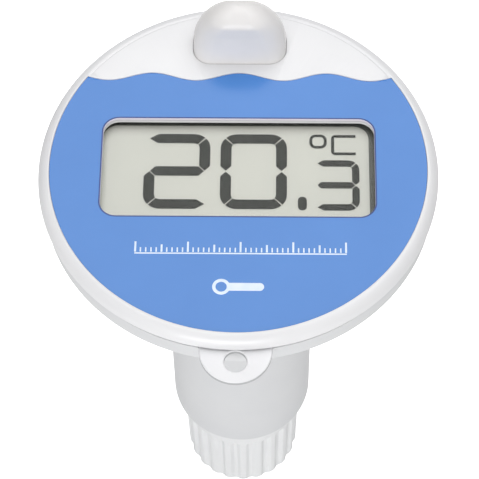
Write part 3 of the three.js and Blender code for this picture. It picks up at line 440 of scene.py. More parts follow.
# nickel-plated spring wire and contacts
nickel = finish("nickel_plated_contact", "#C4BFB4", "#D3CEC4", 0.22, 4, 0.12, 0.001, Metallic=1.0)
tin_can = finish("tinned_shield_can", "#B9BBBD", "#C6C8CA", 0.34, 5, 0.2, 0.003, Metallic=1.0)
enamelled_copper = finish("enamelled_copper_wire", "#B5653A", "#C97A48", 0.25, 3, 0.1, 0.001, Metallic=1.0)
black_abs = finish("black_abs_textured", "#1F2022", "#292A2C", 0.48, 8, 0.35, 0.01, IOR=1.54)
epoxy = finish("moulded_epoxy", "#1B1C1E", "#242527", 0.55, 2, 0.12, 0.004, IOR=1.55)
red_vinyl = finish("red_vinyl_insulation", "#A82620", "#B8302A", 0.42, 3, 0.2, 0.002, IOR=1.53)
black_vinyl = finish("black_vinyl_insulation", "#1D1E20", "#26272A", 0.42, 3, 0.2, 0.002, IOR=1.53)
white_key = finish("white_acetal_key", "#E0E0DE", "#ECECEA", 0.33, 3, 0.2, 0.002, IOR=1.48)
print("inner finishes:", *(m.name for m in (black_rubber, plated_steel, nickel, tin_can, epoxy, white_key)))

# %% [markdown]
# Three parts carry a pattern that runs one way: the striped silicone that joins glass to board, the flat
# ribbon with its copper lines, and the wrap of each cell. Each is a wave of the real pitch, mixed over a
# base finish.

# %% Add stripes to a finish


def striped(material, colour, pitch_mm, axis, share):
    """Draws stripes of a second colour over a finish, at a real pitch along one axis."""
    tree = material.node_tree
    shader = tree.nodes["Principled BSDF"]
    base = shader.inputs["Base Color"].links[0].from_socket
    place = node(tree, "TexCoord").outputs["Object"]
    split = node(tree, "SeparateXYZ", links={"Vector": place})
    cycles = node(tree, "Math", {1: per_metre(pitch_mm)}, {0: split.outputs[axis]}, operation="MULTIPLY")
    part = node(tree, "Math", links={0: cycles.outputs[0]}, operation="FRACT")
    inside = node(tree, "Math", {1: share}, {0: part.outputs[0]}, operation="LESS_THAN")
    mixed = node(tree, "Mix", {7: linear(colour)}, {0: inside.outputs[0], 6: base}, data_type="RGBA")
    tree.links.new(mixed.outputs[2], shader.inputs["Base Color"])


# silicone strip: carbon layers at 0.18 mm pitch, drawn at 0.6 mm so that they show
zebra_silicone = finish("striped_silicone", "#CFC9C2", "#DAD5CE", 0.6, 4, 0.2, 0.002, IOR=1.41)
striped(zebra_silicone, "#3A3836", 0.6, "X", 0.45)
# polyester ribbon with tinned conductors at 1 mm pitch
ribbon_film = finish("polyester_ribbon", "#D9D3C2", "#E2DCCD", 0.35, 6, 0.3, 0.001, IOR=1.57)
striped(ribbon_film, "#A9AAA6", 1.0, "X", 0.6)
print("striped:", zebra_silicone.name, ribbon_film.name)

# %% [markdown]
# A circuit board is a sheet of woven glass under green solder mask. Copper tracks lift the mask by a few
# hundredths of a millimetre and show through as a lighter green. A brick pattern with long bricks reads as
# tracks that turn only at right angles.

# %% Solder mask with tracks
solder_mask = finish("green_solder_mask", "#1F5B3A", "#256543", 0.32, 9, 0.4, 0.004, IOR=1.5)
tree = solder_mask.node_tree
shader = tree.nodes["Principled BSDF"]
place = node(tree, "TexCoord").outputs["Object"]
tracks = node(
    tree,
    "TexBrick",
    {
        "Scale": per_metre(10),
        "Color1": linear("#1F5B3A"),
        "Color2": linear("#265F3F"),
        "Mortar": linear("#4E8F5C"),
        "Mortar Size": 0.03,
        "Brick Width": 0.9,
        "Row Height": 0.22,
    },
    {"Vector": place},
)
tree.links.new(tracks.outputs["Color"], shader.inputs["Base Color"])
raised = node(tree, "Bump", {"Strength": 0.6, "Distance": 0.03 * MM}, {"Height": tracks.outputs["Fac"]})
tree.links.new(shader.inputs["Normal"].links[0].from_socket, raised.inputs["Normal"])
tree.links.new(raised.outputs["Normal"], shader.inputs["Normal"])
print("board finish:", solder_mask.name)

# %% [markdown]
# An AA cell is a steel can in a printed shrink film. A plain green film with a dark band at one end says
# which way it goes, and the bare can shows at both ends. The band is set by height, since both cells stand
# upright in the stem.

# %% Cell film with its end band
CAN, BAND, FILM = "#C9CACC", "#22262A", "#2F6B4C"
# what shows up a cell, from each share of its height: one cell stands on its base and one on its button
cell_bands = {
    "battery_1": [(0, CAN), (0.012, BAND), (0.2, BAND), (0.21, FILM), (0.955, CAN)],
    "battery_2": [(0, CAN), (0.045, FILM), (0.79, BAND), (0.985, CAN)],
}
cell_film = finish("printed_cell_film", FILM, "#377857", 0.24, 12, 0.3, 0.001, IOR=1.5)
for name, bands in cell_bands.items():
    film = cell_film.copy()
    film.name = f"printed_cell_film_{name[-1]}"
    tree = film.node_tree
    shader = tree.nodes["Principled BSDF"]
    bottom, top = box_mm(name)
    place = node(tree, "TexCoord").outputs["Object"]
    height = node(tree, "SeparateXYZ", links={"Vector": place}).outputs["Z"]
    share = node(tree, "MapRange", {"From Min": bottom.z * MM, "From Max": top.z * MM}, {"Value": height})
    ramp = node(tree, "ValToRGB", links={"Fac": share.outputs["Result"]})
    ramp.color_ramp.interpolation = "CONSTANT"
    while len(ramp.color_ramp.elements) < len(bands):
        ramp.color_ramp.elements.new(0.5)
    for stop, (position, colour) in zip(ramp.color_ramp.elements, bands):
        stop.position, stop.color = position, linear(colour)
    tree.links.new(ramp.outputs["Color"], shader.inputs["Base Color"])
    coat(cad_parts[name], film)
print("cells painted:", *cell_bands)

# %% [markdown]
# ## Putting a piece in its place
# A finished piece rides on a body of the frame, stands for a node and carries a finish. One function does
# all three, so that nothing is left out.

# %% Settle a piece


def settle(made, body, slot, material, *nodes):
    """Gives a piece its finish, its body and the nodes it stands for. The slot is not used."""
    coat(made, material)
    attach(made, body)
    if nodes:
        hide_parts(*nodes)
    print(f"{made.name}: {len(made.data.polygons)} faces")
    return made


# %% [markdown]
# ## Upper shell
# The white shell is a shallow lid: a flat top, a rim that rolls over in a quarter ellipse, and a skirt that
# closes on the lower shell. It could be modelled by subdividing a disc, but the turned profile gives every
# radius exactly, and the recess for the printed sheet, the window and the dome's hole are cut after that.

# %% Sizes of the face
RIM_WIDTH, RIM_DROP = 3.2, 3.6  # the quarter ellipse that rolls over the rim
SEAM = 4.0  # face to the rim's lower edge
SKIRT, LEDGE, LEDGE_DEPTH = 2.8, 5.2, 2.2  # the skirt's wall and the ledge behind it
SKIN = 2.4  # the flat top's thickness
FLAT = HEAD - RIM_WIDTH  # radius of the flat face
SHEET = FACE - plate_high.z  # how far the printed sheet lies below the shell
FLANGE = 1.6  # the dome's flange under the shell is this much wider than the dome
DOME_FRONT, DOME_BACK = dome_low.y + FLANGE, dome_high.y - FLANGE
DOME_HALF, DOME_CORNER = dome_high.x - FLANGE, 5
WAVE_LENGTH, WAVE_HEIGHT = 24.4, 1.25
WAVE_Y = DOME_FRONT - 4.25  # the wavy edge passes just in front of the dome
WINDOW, WINDOW_CORNER = (-37.4, 37.4, -16.025, 15.525), 4.4
print(f"wave at y {WAVE_Y:.2f} mm, dome from y {DOME_FRONT:.2f} to {DOME_BACK:.2f} mm")

# %% Outline of the printed field


def field_outline(inset):
    """A disc cut off at the back by a wavy line."""
    radius, mean, count = FLAT - inset, WAVE_Y - inset, 96
    end = math.sqrt(radius**2 - mean**2)
    wave = []
    for i in range(count + 1):
        x = -end + 2 * end * i / count
        wave.append((x, mean + WAVE_HEIGHT * math.cos(2 * math.pi * x / WAVE_LENGTH)))
    edge = math.degrees(math.atan2(wave[-1][1], end))
    last = math.hypot(*wave[-1])
    rim = arc(0, 0, radius, edge, -180 - edge, 180)[1:-1]
    return wave[:-1] + [(end * radius / last, wave[-1][1] * radius / last)] + rim


def window_outline(margin):
    x0, x1, y0, y1 = WINDOW
    return round_box(x0 - margin, x1 + margin, y0 - margin, y1 + margin, WINDOW_CORNER + margin, 12)


def dome_outline(margin):
    half, front, back = DOME_HALF + margin, DOME_FRONT - margin, DOME_BACK + margin
    return round_box(-half, half, front, back, DOME_CORNER + margin, 12)


# %% Turn the shell and cut its face
rim_line = [
    (FLAT + RIM_WIDTH * math.sin(a), -RIM_DROP + RIM_DROP * math.cos(a))
    for a in (math.radians(90 * k / 14) for k in range(1, 15))
]
# a shallow groove just inside the rim
groove = [(FLAT - 0.75, 0), (FLAT - 0.55, -0.12), (FLAT - 0.3, -0.12), (FLAT - 0.1, 0)]
profile = (
    [(0, 0)]
    + groove
    + rim_line
    + softened(
        [
            (HEAD - 0.1, -SEAM, 0.3),
            (HEAD - SKIRT, -SEAM, 0.1),
            (HEAD - SKIRT, -LEDGE_DEPTH, 0.1),
            (HEAD - LEDGE, -LEDGE_DEPTH, 0.1),
            (HEAD - LEDGE, -SKIN, 0.1),
            (0, -SKIN, 0),
        ],
        3,
        closed=False,
    )
)
upper = turned("upper_shell_moulding", [(r, FACE + z) for r, z in profile], 240)
upper = combined(upper, plate("sheet_recess", [field_outline(0)], FACE - SHEET - 1.2, FACE + 2, 0))
for name, outline in (("window_cut", window_outline(0.05)), ("dome_cut", dome_outline(0.11))):
    upper = combined(upper, plate(name, [outline], FACE - 4, FACE + 2, 0))
edged(upper, 0.13)
settle(upper, "housing", "white_abs", white_abs, "upper_shell")

# %% [markdown]
# ## Printed sheet
# The blue field is a thin sheet, printed and then die-cut. Its cut edge is the pale sheet with a painted
# mauve-grey tint, which stands for the window wall in shade with the blue face reflected in it. A thin navy
# line of ink frames the window. The white marks are a second screen of ink, a few hundredths of a millimetre
# thick.

# %% Cut the sheet
sheet = plate(
    "printed_face_sheet", [field_outline(0.1), window_outline(0)], plate_low.z, plate_high.z, 0.08, 1
)
settle(sheet, "housing", "blue_print", blue_ink, "face_plate")
# the sheet's upright sides get the cut edge finish, whose mauve-grey tint is painted shade and reflection
sheet.data.materials.append(sheet_edge_painted_shade)
for face in sheet.data.polygons:
    if face.normal.z < 0.5:  # only the top is inked
        face.material_index = 1
INK = FACE - SHEET  # height of the sheet's top, where the other inks lie
frame_outlines = [window_outline(0.42), window_outline(0.06)]
frame_line = plate("window_frame_ink", frame_outlines, INK - 0.02, INK + 0.02, 0.01, 1)
settle(frame_line, "housing", "blue_print", navy_ink)

# %% [markdown]
# The marks below the window are a plain degree scale and a small thermometer sign. They are drawn as
# outlines and filled, which keeps their edges clean at any size.

# %% Print the marks
SCALE_LEFT, SCALE_RIGHT, SCALE_BASE, DIVISIONS = -27.2, 29.2, -27.4, 40
marks = []
for i in range(DIVISIONS + 1):
    x = SCALE_LEFT + (SCALE_RIGHT - SCALE_LEFT) * i / DIVISIONS
    tall = 3.2 if i % 10 == 0 else 2.3 if i % 5 == 0 else 1.4
    half = 0.26 if i % 5 == 0 else 0.19
    marks.append(rectangle(x - half, x + half, SCALE_BASE, SCALE_BASE + tall))
marks.append(rectangle(SCALE_LEFT - 0.2, SCALE_RIGHT + 0.2, SCALE_BASE - 0.6, SCALE_BASE - 0.2))

SIGN_Y, BULB_X, TUBE_X = -38.0, -4.0, 6.2
bulb = arc(BULB_X, SIGN_Y, 2.4, 30, 330, 24)
tube = arc(TUBE_X, SIGN_Y, 1.2, -90, 90, 10)
sign = [bulb + tube, arc(BULB_X, SIGN_Y, 1.5, 0, 350, 24)]
for name, outlines in (("degree_scale_print", marks), ("thermometer_sign_print", sign)):
    printed = plate(name, outlines, INK - 0.02, INK + 0.03, 0.01, 1)
    settle(printed, "housing", "blue_print", pale_ink)

# %% [markdown]
# ## Lens and display
# Under the window lie a clear acrylic lens with a dark grey mask printed on its back, then the display glass.
# The mask's band seen along the window's top and right edges is painted shadow.
# The segments hang a tenth of a millimetre over the reflector, as they do in a real display, so each one
# drops a thin shadow.

# %% Lens, mask and glass


def inside_box(low, high, margin, radius, steps=8):
    """The outline of a piece of the frame, drawn in by a margin."""
    return round_box(low.x + margin, high.x - margin, low.y + margin, high.y - margin, radius, steps)


lens_outline = inside_box(lens_low, lens_high, 0, 3)
lens = plate("window_lens_sheet", [lens_outline], lens_low.z, lens_high.z, 0.15)
settle(lens, "housing", "clear_acrylic", clear_acrylic, "window_lens")
# painted shadow: the mask's opening stops short of the window's right edge, so a dark band of it shows there
# where the window's shadow falls
mask_opening_painted_shadow = round_box(WINDOW[0] - 0.3, WINDOW[1] - 1.4, WINDOW[2] - 0.3, WINDOW[3], 4.2, 12)
mask_outlines = [inside_box(lens_low, lens_high, 0.3, 2.8), mask_opening_painted_shadow]
mask = plate("lens_mask_with_painted_shadow", mask_outlines, lens_low.z - 0.06, lens_low.z - 0.01, 0.01, 1)
settle(mask, "housing", "clear_acrylic", lens_mask_painted_shadow)
glass_outline = inside_box(glass_low, glass_high, 0, 0.6, 4)
glass = plate("display_glass_sheet", [glass_outline], glass_low.z, glass_high.z, 0.2)
settle(glass, "housing", "display_glass", polariser, "lcd_glass")

# %% [markdown]
# Seven strokes make every figure. A stroke has round outer corners where the figure turns, a 45 degree joint
# with its neighbour, and a point at the middle and at a free end. Each stroke is worked out from the figure's
# width, height, stroke and corner, so large and small figures come from one recipe.

# %% Strokes of a figure
TIP, FREE_TOP, FREE_LOW = 0.45, 0.85, 0.75  # a free end's setback and two slants, in stroke widths


def strokes(shown, x0, x1, y0, y1, wide, radius, gap):
    """The strokes of a figure, by the usual letters a to g. A stroke with no neighbour ends in a point."""
    cx, cy = (x0 + x1) / 2, (y0 + y1) / 2
    w, h = (x1 - x0) / 2, (y1 - y0) / 2
    g = gap * 0.7
    lean = math.degrees(g / radius)

    def flip(points, sx, sy):
        return [(cx + sx * x, cy + sy * y) for x, y in points]

    def flat_end(meets):
        if meets:
            inner = arc(w - radius, h - radius, radius - wide, 90, 45 + 2 * lean, 4)
            return inner + arc(w - radius, h - radius, radius, 45 + lean, 90, 6)
        tip = w - TIP * wide
        return [(tip - FREE_LOW * wide, h - wide), (tip, h - wide / 2), (tip - FREE_TOP * wide, h)]

    def middle_end(meets):
        tip = w - (wide / 2 + g if meets else TIP * wide)
        return [(tip - wide / 2, -wide / 2), (tip, 0), (tip - wide / 2, wide / 2)]

    def both(end, right, left):
        return end(right in shown) + [(-x, y) for x, y in reversed(end(left in shown))]

    side = arc(w - radius, h - radius, radius, 0, 45 - lean, 6)
    side += arc(w - radius, h - radius, radius - wide, 45 - 2 * lean, 0, 4)
    side += [(w - wide, wide / 2 + g), (w - wide / 2, g), (w, wide / 2 + g)]
    every = {
        "a": flip(both(flat_end, "b", "f"), 1, 1),
        "b": flip(side, 1, 1),
        "c": flip(side, 1, -1),
        "d": flip(both(flat_end, "c", "e"), 1, -1),
        "e": flip(side, -1, -1),
        "f": flip(side, -1, 1),
        "g": flip(both(middle_end, "b", "e"), 1, 1),
    }
    return [every[letter] for letter in shown]


# %% Draw the reading
LIFT = 2.3  # the display lies deep under the window, so its figures stand back to look level in it
GAP = 0.25  # between two strokes
segments = []
for shown, x0, x1, y0, y1, wide, radius in (
    ("abged", -26.0, -7.8, -13.85, 10.45, 3.0, 4.6),
    ("abcdef", -4.95, 13.4, -13.85, 10.45, 3.0, 4.6),
    ("abgcd", 20.9, 33.3, -14.15, 2.05, 2.0, 3.2),
):
    segments += strokes(shown, x0, x1, y0 + LIFT, y1 + LIFT, wide, radius, GAP)
for x0, x1, y0, y1, radius in (
    (16.4, 18.85, -14.15, -9.85, 1.2),  # the point
    (19.6, 24.4, 5.95, 10.5, 1.8),  # the degree ring
    (20.4, 23.6, 6.75, 9.7, 1.0),  # and its hole
):
    segments.append(round_box(x0, x1, y0 + LIFT, y1 + LIFT, radius, 6))
C_TOP, C_LOW, C_END, C_INNER = 10.4 + LIFT, 3.8 + LIFT, 32.4, 26.45
C_STROKE, C_CORNER, C_CORNER_X = 0.85, 1.2, 26.8
inner_top, inner_low = C_TOP - C_STROKE, C_LOW + C_STROKE
segments.append(
    arc(C_CORNER_X, C_TOP - C_CORNER, C_CORNER, 180, 90, 4)
    + [(C_END, C_TOP), (C_END, inner_top), (C_INNER, inner_top)]
    + [(C_INNER, inner_low), (C_END, inner_low), (C_END, C_LOW)]
    + arc(C_CORNER_X, C_LOW + C_CORNER, C_CORNER, 270, 180, 4)
)
reading = plate("display_segments", segments, glass_high.z + 0.09, glass_high.z + 0.13, 0.01, 1)
settle(reading, "housing", "display_glass", crystal_dark)

# %% [markdown]
# ## Antenna dome
# The dome is a loaf with a straight front, round corners and a top that arches over from side to side. It is
# built as rings of one outline: at each height the outline gets narrower by the law of an ellipse, and its
# front and back lean in until they meet at the ridge.

# %% Loft the dome
DOME_TALL = dome_high.z - FACE - 0.5  # the finished dome stays just under its frame's peak
DOME_WALL = 1.6
SHOULDER = 0.76  # share of the height where the steep front turns into the sloping top
LEAN = 1.4  # how far the front leans back below its shoulder


def dome_ring(t, inset=0.0):
    """Half sizes and corner of the dome at a share t of its height."""
    half_x = (DOME_HALF - inset) * math.sqrt(max(0.0, 1 - t**2.15))
    length = DOME_BACK - DOME_FRONT - 2 * inset
    lean = LEAN * min(1.0, t / 0.55)
    bend = max(0.0, (t - SHOULDER) / (1 - SHOULDER))
    slope = 0.55 * bend**1.5 + 0.45 * (1 - math.sqrt(max(0.0, 1 - bend**2.5)))
    front_in = lean + (length / 2 - lean) * slope
    back_in = (length / 2) * (1 - math.sqrt(max(0.0, 1 - max(0.0, (t - 0.2) / 0.8) ** 2.2)))
    return half_x, DOME_FRONT + inset + front_in, DOME_BACK - inset - back_in


def dome_points(t, height, inset=0.0):
    half_x, front, back = dome_ring(t, inset)
    corner = max(0.02, min(DOME_CORNER - inset + 2.2 * t, half_x * 0.98, (back - front) / 2 * 0.98))
    half_x = max(half_x, corner)
    if back - front < 2 * corner:
        middle = (front + back) / 2
        front, back = middle - corner, middle + corner
    return [(x, y, height) for x, y in round_box(-half_x, half_x, front, back, corner, 14)]


def dome_skin(inset, tall, bottom):
    """Rings of points from the dome's bottom to its ridge, closer together near the top."""
    rings = [dome_points(0, bottom, inset), dome_points(0, FACE, inset)]
    count = 44
    for i in range(1, count + 1):
        t = math.sin(math.pi / 2 * i / count)
        rings.append(dome_points(min(t, 0.9995), FACE + tall * t, inset))
    return rings


outside = dome_skin(0, DOME_TALL, dome_low.z)
hollow = dome_skin(DOME_WALL, DOME_TALL - DOME_WALL, dome_low.z)
per_ring = len(outside[0])
points = [p for ring in outside + hollow for p in ring]
faces = []
for start, rings, flipped in ((0, outside, False), (len(outside) * per_ring, hollow, True)):
    for i in range(len(rings) - 1):
        a, b = start + i * per_ring, start + (i + 1) * per_ring
        for k in range(per_ring):
            n = (k + 1) % per_ring
            quad = (a + k, a + n, b + n, b + k)
            faces.append(quad[::-1] if flipped else quad)
    last = start + (len(rings) - 1) * per_ring
    lid = tuple(range(last, last + per_ring))
    faces.append(lid[::-1] if flipped else lid)
for k in range(per_ring):
    n = (k + 1) % per_ring
    base = len(outside) * per_ring
    faces.append((k, base + k, base + n, n))
dome = tidy_mesh(mesh_object("antenna_dome_moulding", points, faces), 40)
flange_outlines = [dome_outline(FLANGE - 0.05), dome_outline(-1.0)]
flange = plate("dome_flange", flange_outlines, dome_low.z, dome_low.z + 1.2, 0.15)
dome = joined("antenna_dome_moulding", [dome, flange])
settle(dome, "housing", "frosted_dome", frosted_dome, "antenna_dome")

# %% [markdown]
# ## Lower shell and stem
# The lower shell starts as a ring under the rim, sweeps in like the bell of a trumpet and becomes the stem.
# One turned profile holds all of it, inside and out. The four screw wells, the pocket for the tether tab
# and the thread in the stem's mouth are added to it.

# %% Profile of the shell
WALL = 2.2
STEM, STEM_INNER = 21.6, 21.6 - WALL
LOWER = HEAD - 0.9  # the lower shell stands just inside the rim
LOWER_TOP, LOWER_BOTTOM = FACE - 4.5, FACE - 12.2
TONGUE, TONGUE_INNER, TONGUE_TOP = HEAD - 3.1, HEAD - 4.8, FACE - 3.8  # the lip that reaches into the rim
BOWL_END = FACE - 34  # where the bell has become the stem
NECK, NECK_TOP = 17.3, 56.0  # the bore that carries the thread
MOUTH, MOUTH_DEPTH = 17.5, 4  # the plain bore below it, for the cap's seal


def bowl(inset, steps=28):
    """The bell's curve from the lower edge to the stem."""
    a = Vector((LOWER - 1.3 - inset, LOWER_BOTTOM + inset))
    b = Vector((STEM + 4.4 - inset, LOWER_BOTTOM - 4 + inset))
    c = Vector((STEM - inset, BOWL_END))
    found = [(1 - t) ** 2 * a + 2 * t * (1 - t) * b + t**2 * c for t in (k / steps for k in range(steps + 1))]
    return [(p.x, p.y) for p in found]


# a groove 0.6 mm deep just under the rim, which makes the seam read as a dark line
shadow_gap = [(0, 5.25), (0.6, 5.4), (0.6, 5.95), (0, 6.1)]
outer_edge = softened(
    [
        (TONGUE, LOWER_TOP, 0),
        (LOWER, LOWER_TOP, 0.3),
        *[(LOWER - deep, FACE - down, 0) for deep, down in shadow_gap],
        (LOWER, LOWER_BOTTOM, 0.9),
        *[(x, y, 0) for x, y in bowl(0)[1:]],
    ],
    5,
    False,
)
stem_mouth = softened(
    [
        (STEM, BOWL_END, 0),
        (STEM, mouth, 1.3),
        (MOUTH, mouth, 0.3),
        (MOUTH, mouth + MOUTH_DEPTH, 0.2),
        (NECK, mouth + MOUTH_DEPTH + 0.2, 0),
        (NECK, NECK_TOP, 0.4),
        (STEM_INNER, NECK_TOP + 3, 0.4),
        (STEM_INNER, BOWL_END, 0),
    ],
    5,
    False,
)
inside = bowl(WALL)[::-1][1:-1] + [(TONGUE_INNER, LOWER_BOTTOM + 2.8)]
inside += [(TONGUE_INNER, TONGUE_TOP), (TONGUE, TONGUE_TOP)]
shell = turned("lower_shell_moulding", outer_edge + stem_mouth[1:] + inside, 192)

# %% Screw wells and bosses
SCREW_CIRCLE, BOSS, WELL, HOLE = 44, 4.4, 3.1, 1.75  # radii
SEAT = FACE - 10.6  # where the screws' washers sit
screw_places = arc(0, 0, SCREW_CIRCLE, 45, 315, 3)
for i, at in enumerate(screw_places):
    shell = combined(shell, rod(f"boss_{i}", BOSS, FACE - 8.4, FACE - 13.5, 48, at), "UNION")
for i, at in enumerate(screw_places):
    shell = combined(shell, rod(f"well_{i}", WELL, SEAT, FACE - 24, 48, at))
    shell = combined(shell, rod(f"hole_{i}", HOLE, FACE - 7, FACE - 11, 32, at))
print(f"lower shell after its wells: {len(shell.data.polygons)} faces")

# %% [markdown]
# A thread is one ridge wound up a cylinder. It fades in and out over a sixth of a turn, as a moulded thread
# does, so that it has no sharp start.

# %% Wind a thread


def thread(name, radius, height, bottom, sides=72, turns=2.5, pitch=3.0):
    """A ridge that stands height proud of the radius. A negative height points inwards."""
    points, faces = [], []
    flank = [(-0.3, 0.66), (0, 0.6), (0.8, 0.34), (1, 0.2)]  # share of the height, and millimetres up
    section = [(out, -up) for out, up in flank] + flank[::-1]
    count = int(sides * turns)
    for i in range(count + 1):
        turn = turns * i / count
        fade = min(1.0, 6 * turn, 6 * (turns - turn))
        for out, up in section:
            r = radius + height * (out * fade if out > 0 else out)
            angle = 2 * math.pi * turn
            points.append((r * math.cos(angle), r * math.sin(angle), bottom + pitch * turn + up))
    size = len(section)
    for i in range(count):
        for k in range(size):
            n = (k + 1) % size
            faces.append((i * size + k, i * size + n, (i + 1) * size + n, (i + 1) * size + k))
    faces.append(tuple(range(size)))
    faces.append(tuple(range(count * size, count * size + size))[::-1])
    return tidy_mesh(mesh_object(name, points, faces))


# %% Pocket for the tether tab
TAB = 9.7  # half the tab's width, and the radius of its round end


def tab_outline(margin, root, steps):
    radius = TAB + margin
    return [(radius, root), *arc(0, tab_low.y + TAB, radius, 0, -180, steps), (-radius, root)]


pocket = plate("tab_pocket", [tab_outline(0.22, -51.9, 40)], tab_low.z - 0.2, FACE, 0)
shell = combined(shell, pocket)
RIDGE = 0.85  # how far both threads stand proud
female = thread("female_thread", NECK, -RIDGE, mouth + 5.2)
shell = joined("lower_shell_moulding", [shell, female])
edged(shell, 0.12)
settle(shell, "housing", "grey_abs", grey_abs, "lower_shell")

# %% [markdown]
# ## Tether tab
# The tab is a flat tongue with a round end and a hole for a line. Its foot fills a pocket in the lower
# shell's wall, where the rim holds it down.

# %% Cut the tab
TAB_ROOT = 52.4  # radius of the tab's curved root
HOLE_Y, HOLE_RADIUS = -58.0, 3.05
tab_plan = tab_outline(0, -TAB_ROOT, 48) + arc(0, 0, TAB_ROOT, 259.5, 280.5, 12)
tab_hole = arc(0, HOLE_Y, HOLE_RADIUS, 0, 352.5, 47)
tab = plate("tether_tab_moulding", [tab_plan, tab_hole], tab_low.z, tab_high.z, 0.4, 4)
foot_plan = arc(0, 0, 53.25, 255.2, 284.8, 30) + arc(0, 0, 52.15, 284.8, 255.2, 30)
foot = plate("tab_foot", [foot_plan], tab_low.z, tab_high.z, 0.1, 2)
tab = flat_faced(joined("tether_tab_moulding", [tab, foot]))
settle(tab, "housing", "white_abs", tab_abs, "tether_tab")
tab.data.materials.append(tab_wall_painted_shade)
for face in tab.data.polygons:
    if abs(face.normal.z) < 0.35:  # the upright sides get the darker grey of painted shade
        face.material_index = 1

# %% [markdown]
# ## Screw cap
# Twenty-two ridges round the cap give wet fingers a grip. They run out into a plain collar at the top and
# are trimmed by a round edge at the bottom. The grip is a grid: round the cap the radius follows the ridge,
# and up the cap the ridge fades at both ends.

# %% Shape the grip
FLUTES, FLUTE_DEPTH, FLUTE_TOP = 22, 1.1, 29.0
FIRST_RIDGE = math.radians(9.7)
CAP, CAP_TALL = cap_high.x, 38.0
CAP_EDGE = 1.3  # round edge at the bottom
CAP_NECK, CAP_BORE, CAP_FLOOR = 16.1, 13.4, 2.6  # the threaded neck, its bore and the bottom's thickness
RING_SEAT, RING_LOW, RING_HIGH = 15.2, 38.85, 41.15  # the seal's groove in the neck


def ridge_share(angle):
    """0 on a ridge's crest and 1 in the middle of a groove, with steep flanks."""
    wave = 0.5 - 0.5 * math.cos(FLUTES * (angle - FIRST_RIDGE))
    return max(0.0, min(1.0, (wave - 0.22) / 0.66)) ** 1.3


def grip_radius(height, angle):
    plain = CAP - 0.5 * max(0.0, (FLUTE_TOP - height) / FLUTE_TOP)
    if height < CAP_EDGE:
        plain -= CAP_EDGE - math.sqrt(max(0.0, CAP_EDGE**2 - (CAP_EDGE - height) ** 2))
    fade = max(0.0, min(1.0, (FLUTE_TOP - height) / 1.1))
    fade = fade * fade * (3 - 2 * fade) * (0.35 + 0.65 * min(1.0, height / 4))
    return plain - FLUTE_DEPTH * ridge_share(angle) * fade


heights = [CAP_EDGE * (1 - math.cos(math.radians(90 * k / 8))) for k in range(9)]
heights += [2.2, 3, 4, 5.5, 7, 10, 13, 16, 19, 22, 25, 27, 27.9, 28.2, 28.45, 28.7, 28.85, 29, 30, 32, 34, 36.6]
collar = [(CAP, 37, 0), (CAP, CAP_TALL, 0.35), (CAP_NECK, CAP_TALL, 0.2), (CAP_NECK, 39.0, 0)]
collar = softened(collar, 3, False)
collar += [(CAP_NECK, RING_LOW), (RING_SEAT, RING_LOW), (RING_SEAT, RING_HIGH), (CAP_NECK, RING_HIGH)]
neck = [(CAP_NECK, 45, 0), (CAP_NECK, cap_high.z, 0.5), (CAP_BORE, cap_high.z, 0.3)]
neck = softened(neck + [(CAP_BORE, CAP_FLOOR, 0.8), (0, CAP_FLOOR, 0)], 4, False)
around = FLUTES * 18
points, faces = [], []
for i in range(around):
    angle = 2 * math.pi * i / around
    column = [(0, 0.25), (8, 0.25), (8.6, 0), (13.5, 0)] + [(grip_radius(z, angle), z) for z in heights]
    column += collar + neck
    points += [(r * math.cos(angle), r * math.sin(angle), z) for r, z in column]
rows = len(column)
for i in range(around):
    a, b = i * rows, ((i + 1) % around) * rows
    faces += [(a + k, b + k, b + k + 1, a + k + 1) for k in range(rows - 1)]
grip = tidy_mesh(mesh_object("screw_cap_moulding", points, faces), 42)
male = thread("male_thread", CAP_NECK, RIDGE, mouth + 6.7)
cap = joined("screw_cap_moulding", [grip, male])
settle(cap, "screw_cap", "grey_abs", cap_abs, "screw_cap")

# %% [markdown]
# ## Seals and screws
# An O-ring is a torus, and in a groove it must look like rubber cord, not like a faceted ring. The screws
# have pan heads with a cross slot, and they are seen at the bottom of their wells.

# %% O-rings


def cord_ring(name, radius, section, height, steps=20):
    """A ring of round cord. The section is the cord's radius."""
    angles = [2 * math.pi * k / steps for k in range(steps)]
    profile = [(radius + section * math.cos(a), height + section * math.sin(a)) for a in angles]
    return turned(name, profile, 160)


cap_ring = cord_ring("cap_o_ring", 16.35, 0.85, (RING_LOW + RING_HIGH) / 2)
settle(cap_ring, "cap_seal", "black_rubber", black_rubber, "cap_seal")
seal_low, seal_high = box_mm("head_seal")
head_ring = cord_ring("head_o_ring", (TONGUE + TONGUE_INNER) / 2, 0.5, (seal_low.z + seal_high.z) / 2)
settle(head_ring, "housing", "black_rubber", black_rubber, "head_seal")

# %% Case screws
HEAD_TALL, SHANK, SLOT_HALF, SLOT_DEPTH = 1.8, 1.45, 0.32, 1.0
for i in range(1, 5):
    name = f"case_screw_{i}"
    low, high = box_mm(name)
    x, y, reach = (low.x + high.x) / 2, (low.y + high.y) / 2, (high.x - low.x) / 2
    under = low.z + HEAD_TALL
    crown = [(0, low.z, 0), (reach * 0.7, low.z, 1.0), (reach, low.z + 0.9, 0.5), (reach, under, 0.1)]
    crown = softened(crown + [(SHANK, under, 0.1)], 4, False)
    shank = [(SHANK, high.z - 1.2), (0.9, high.z - 0.2), (0, high.z)]
    screw = turned(f"pan_screw_{i}", crown + shank, 48, False, (x, y))
    long_half = reach * 0.75
    for turn, half_x, half_y in ((0, long_half, SLOT_HALF), (90, SLOT_HALF, long_half)):
        bar = rectangle(x - half_x, x + half_x, y - half_y, y + half_y)
        screw = combined(screw, plate(f"slot_{i}_{turn}", [bar], low.z - 1, low.z + SLOT_DEPTH, 0))
    settle(screw, "housing", "bright_steel", plated_steel, name)

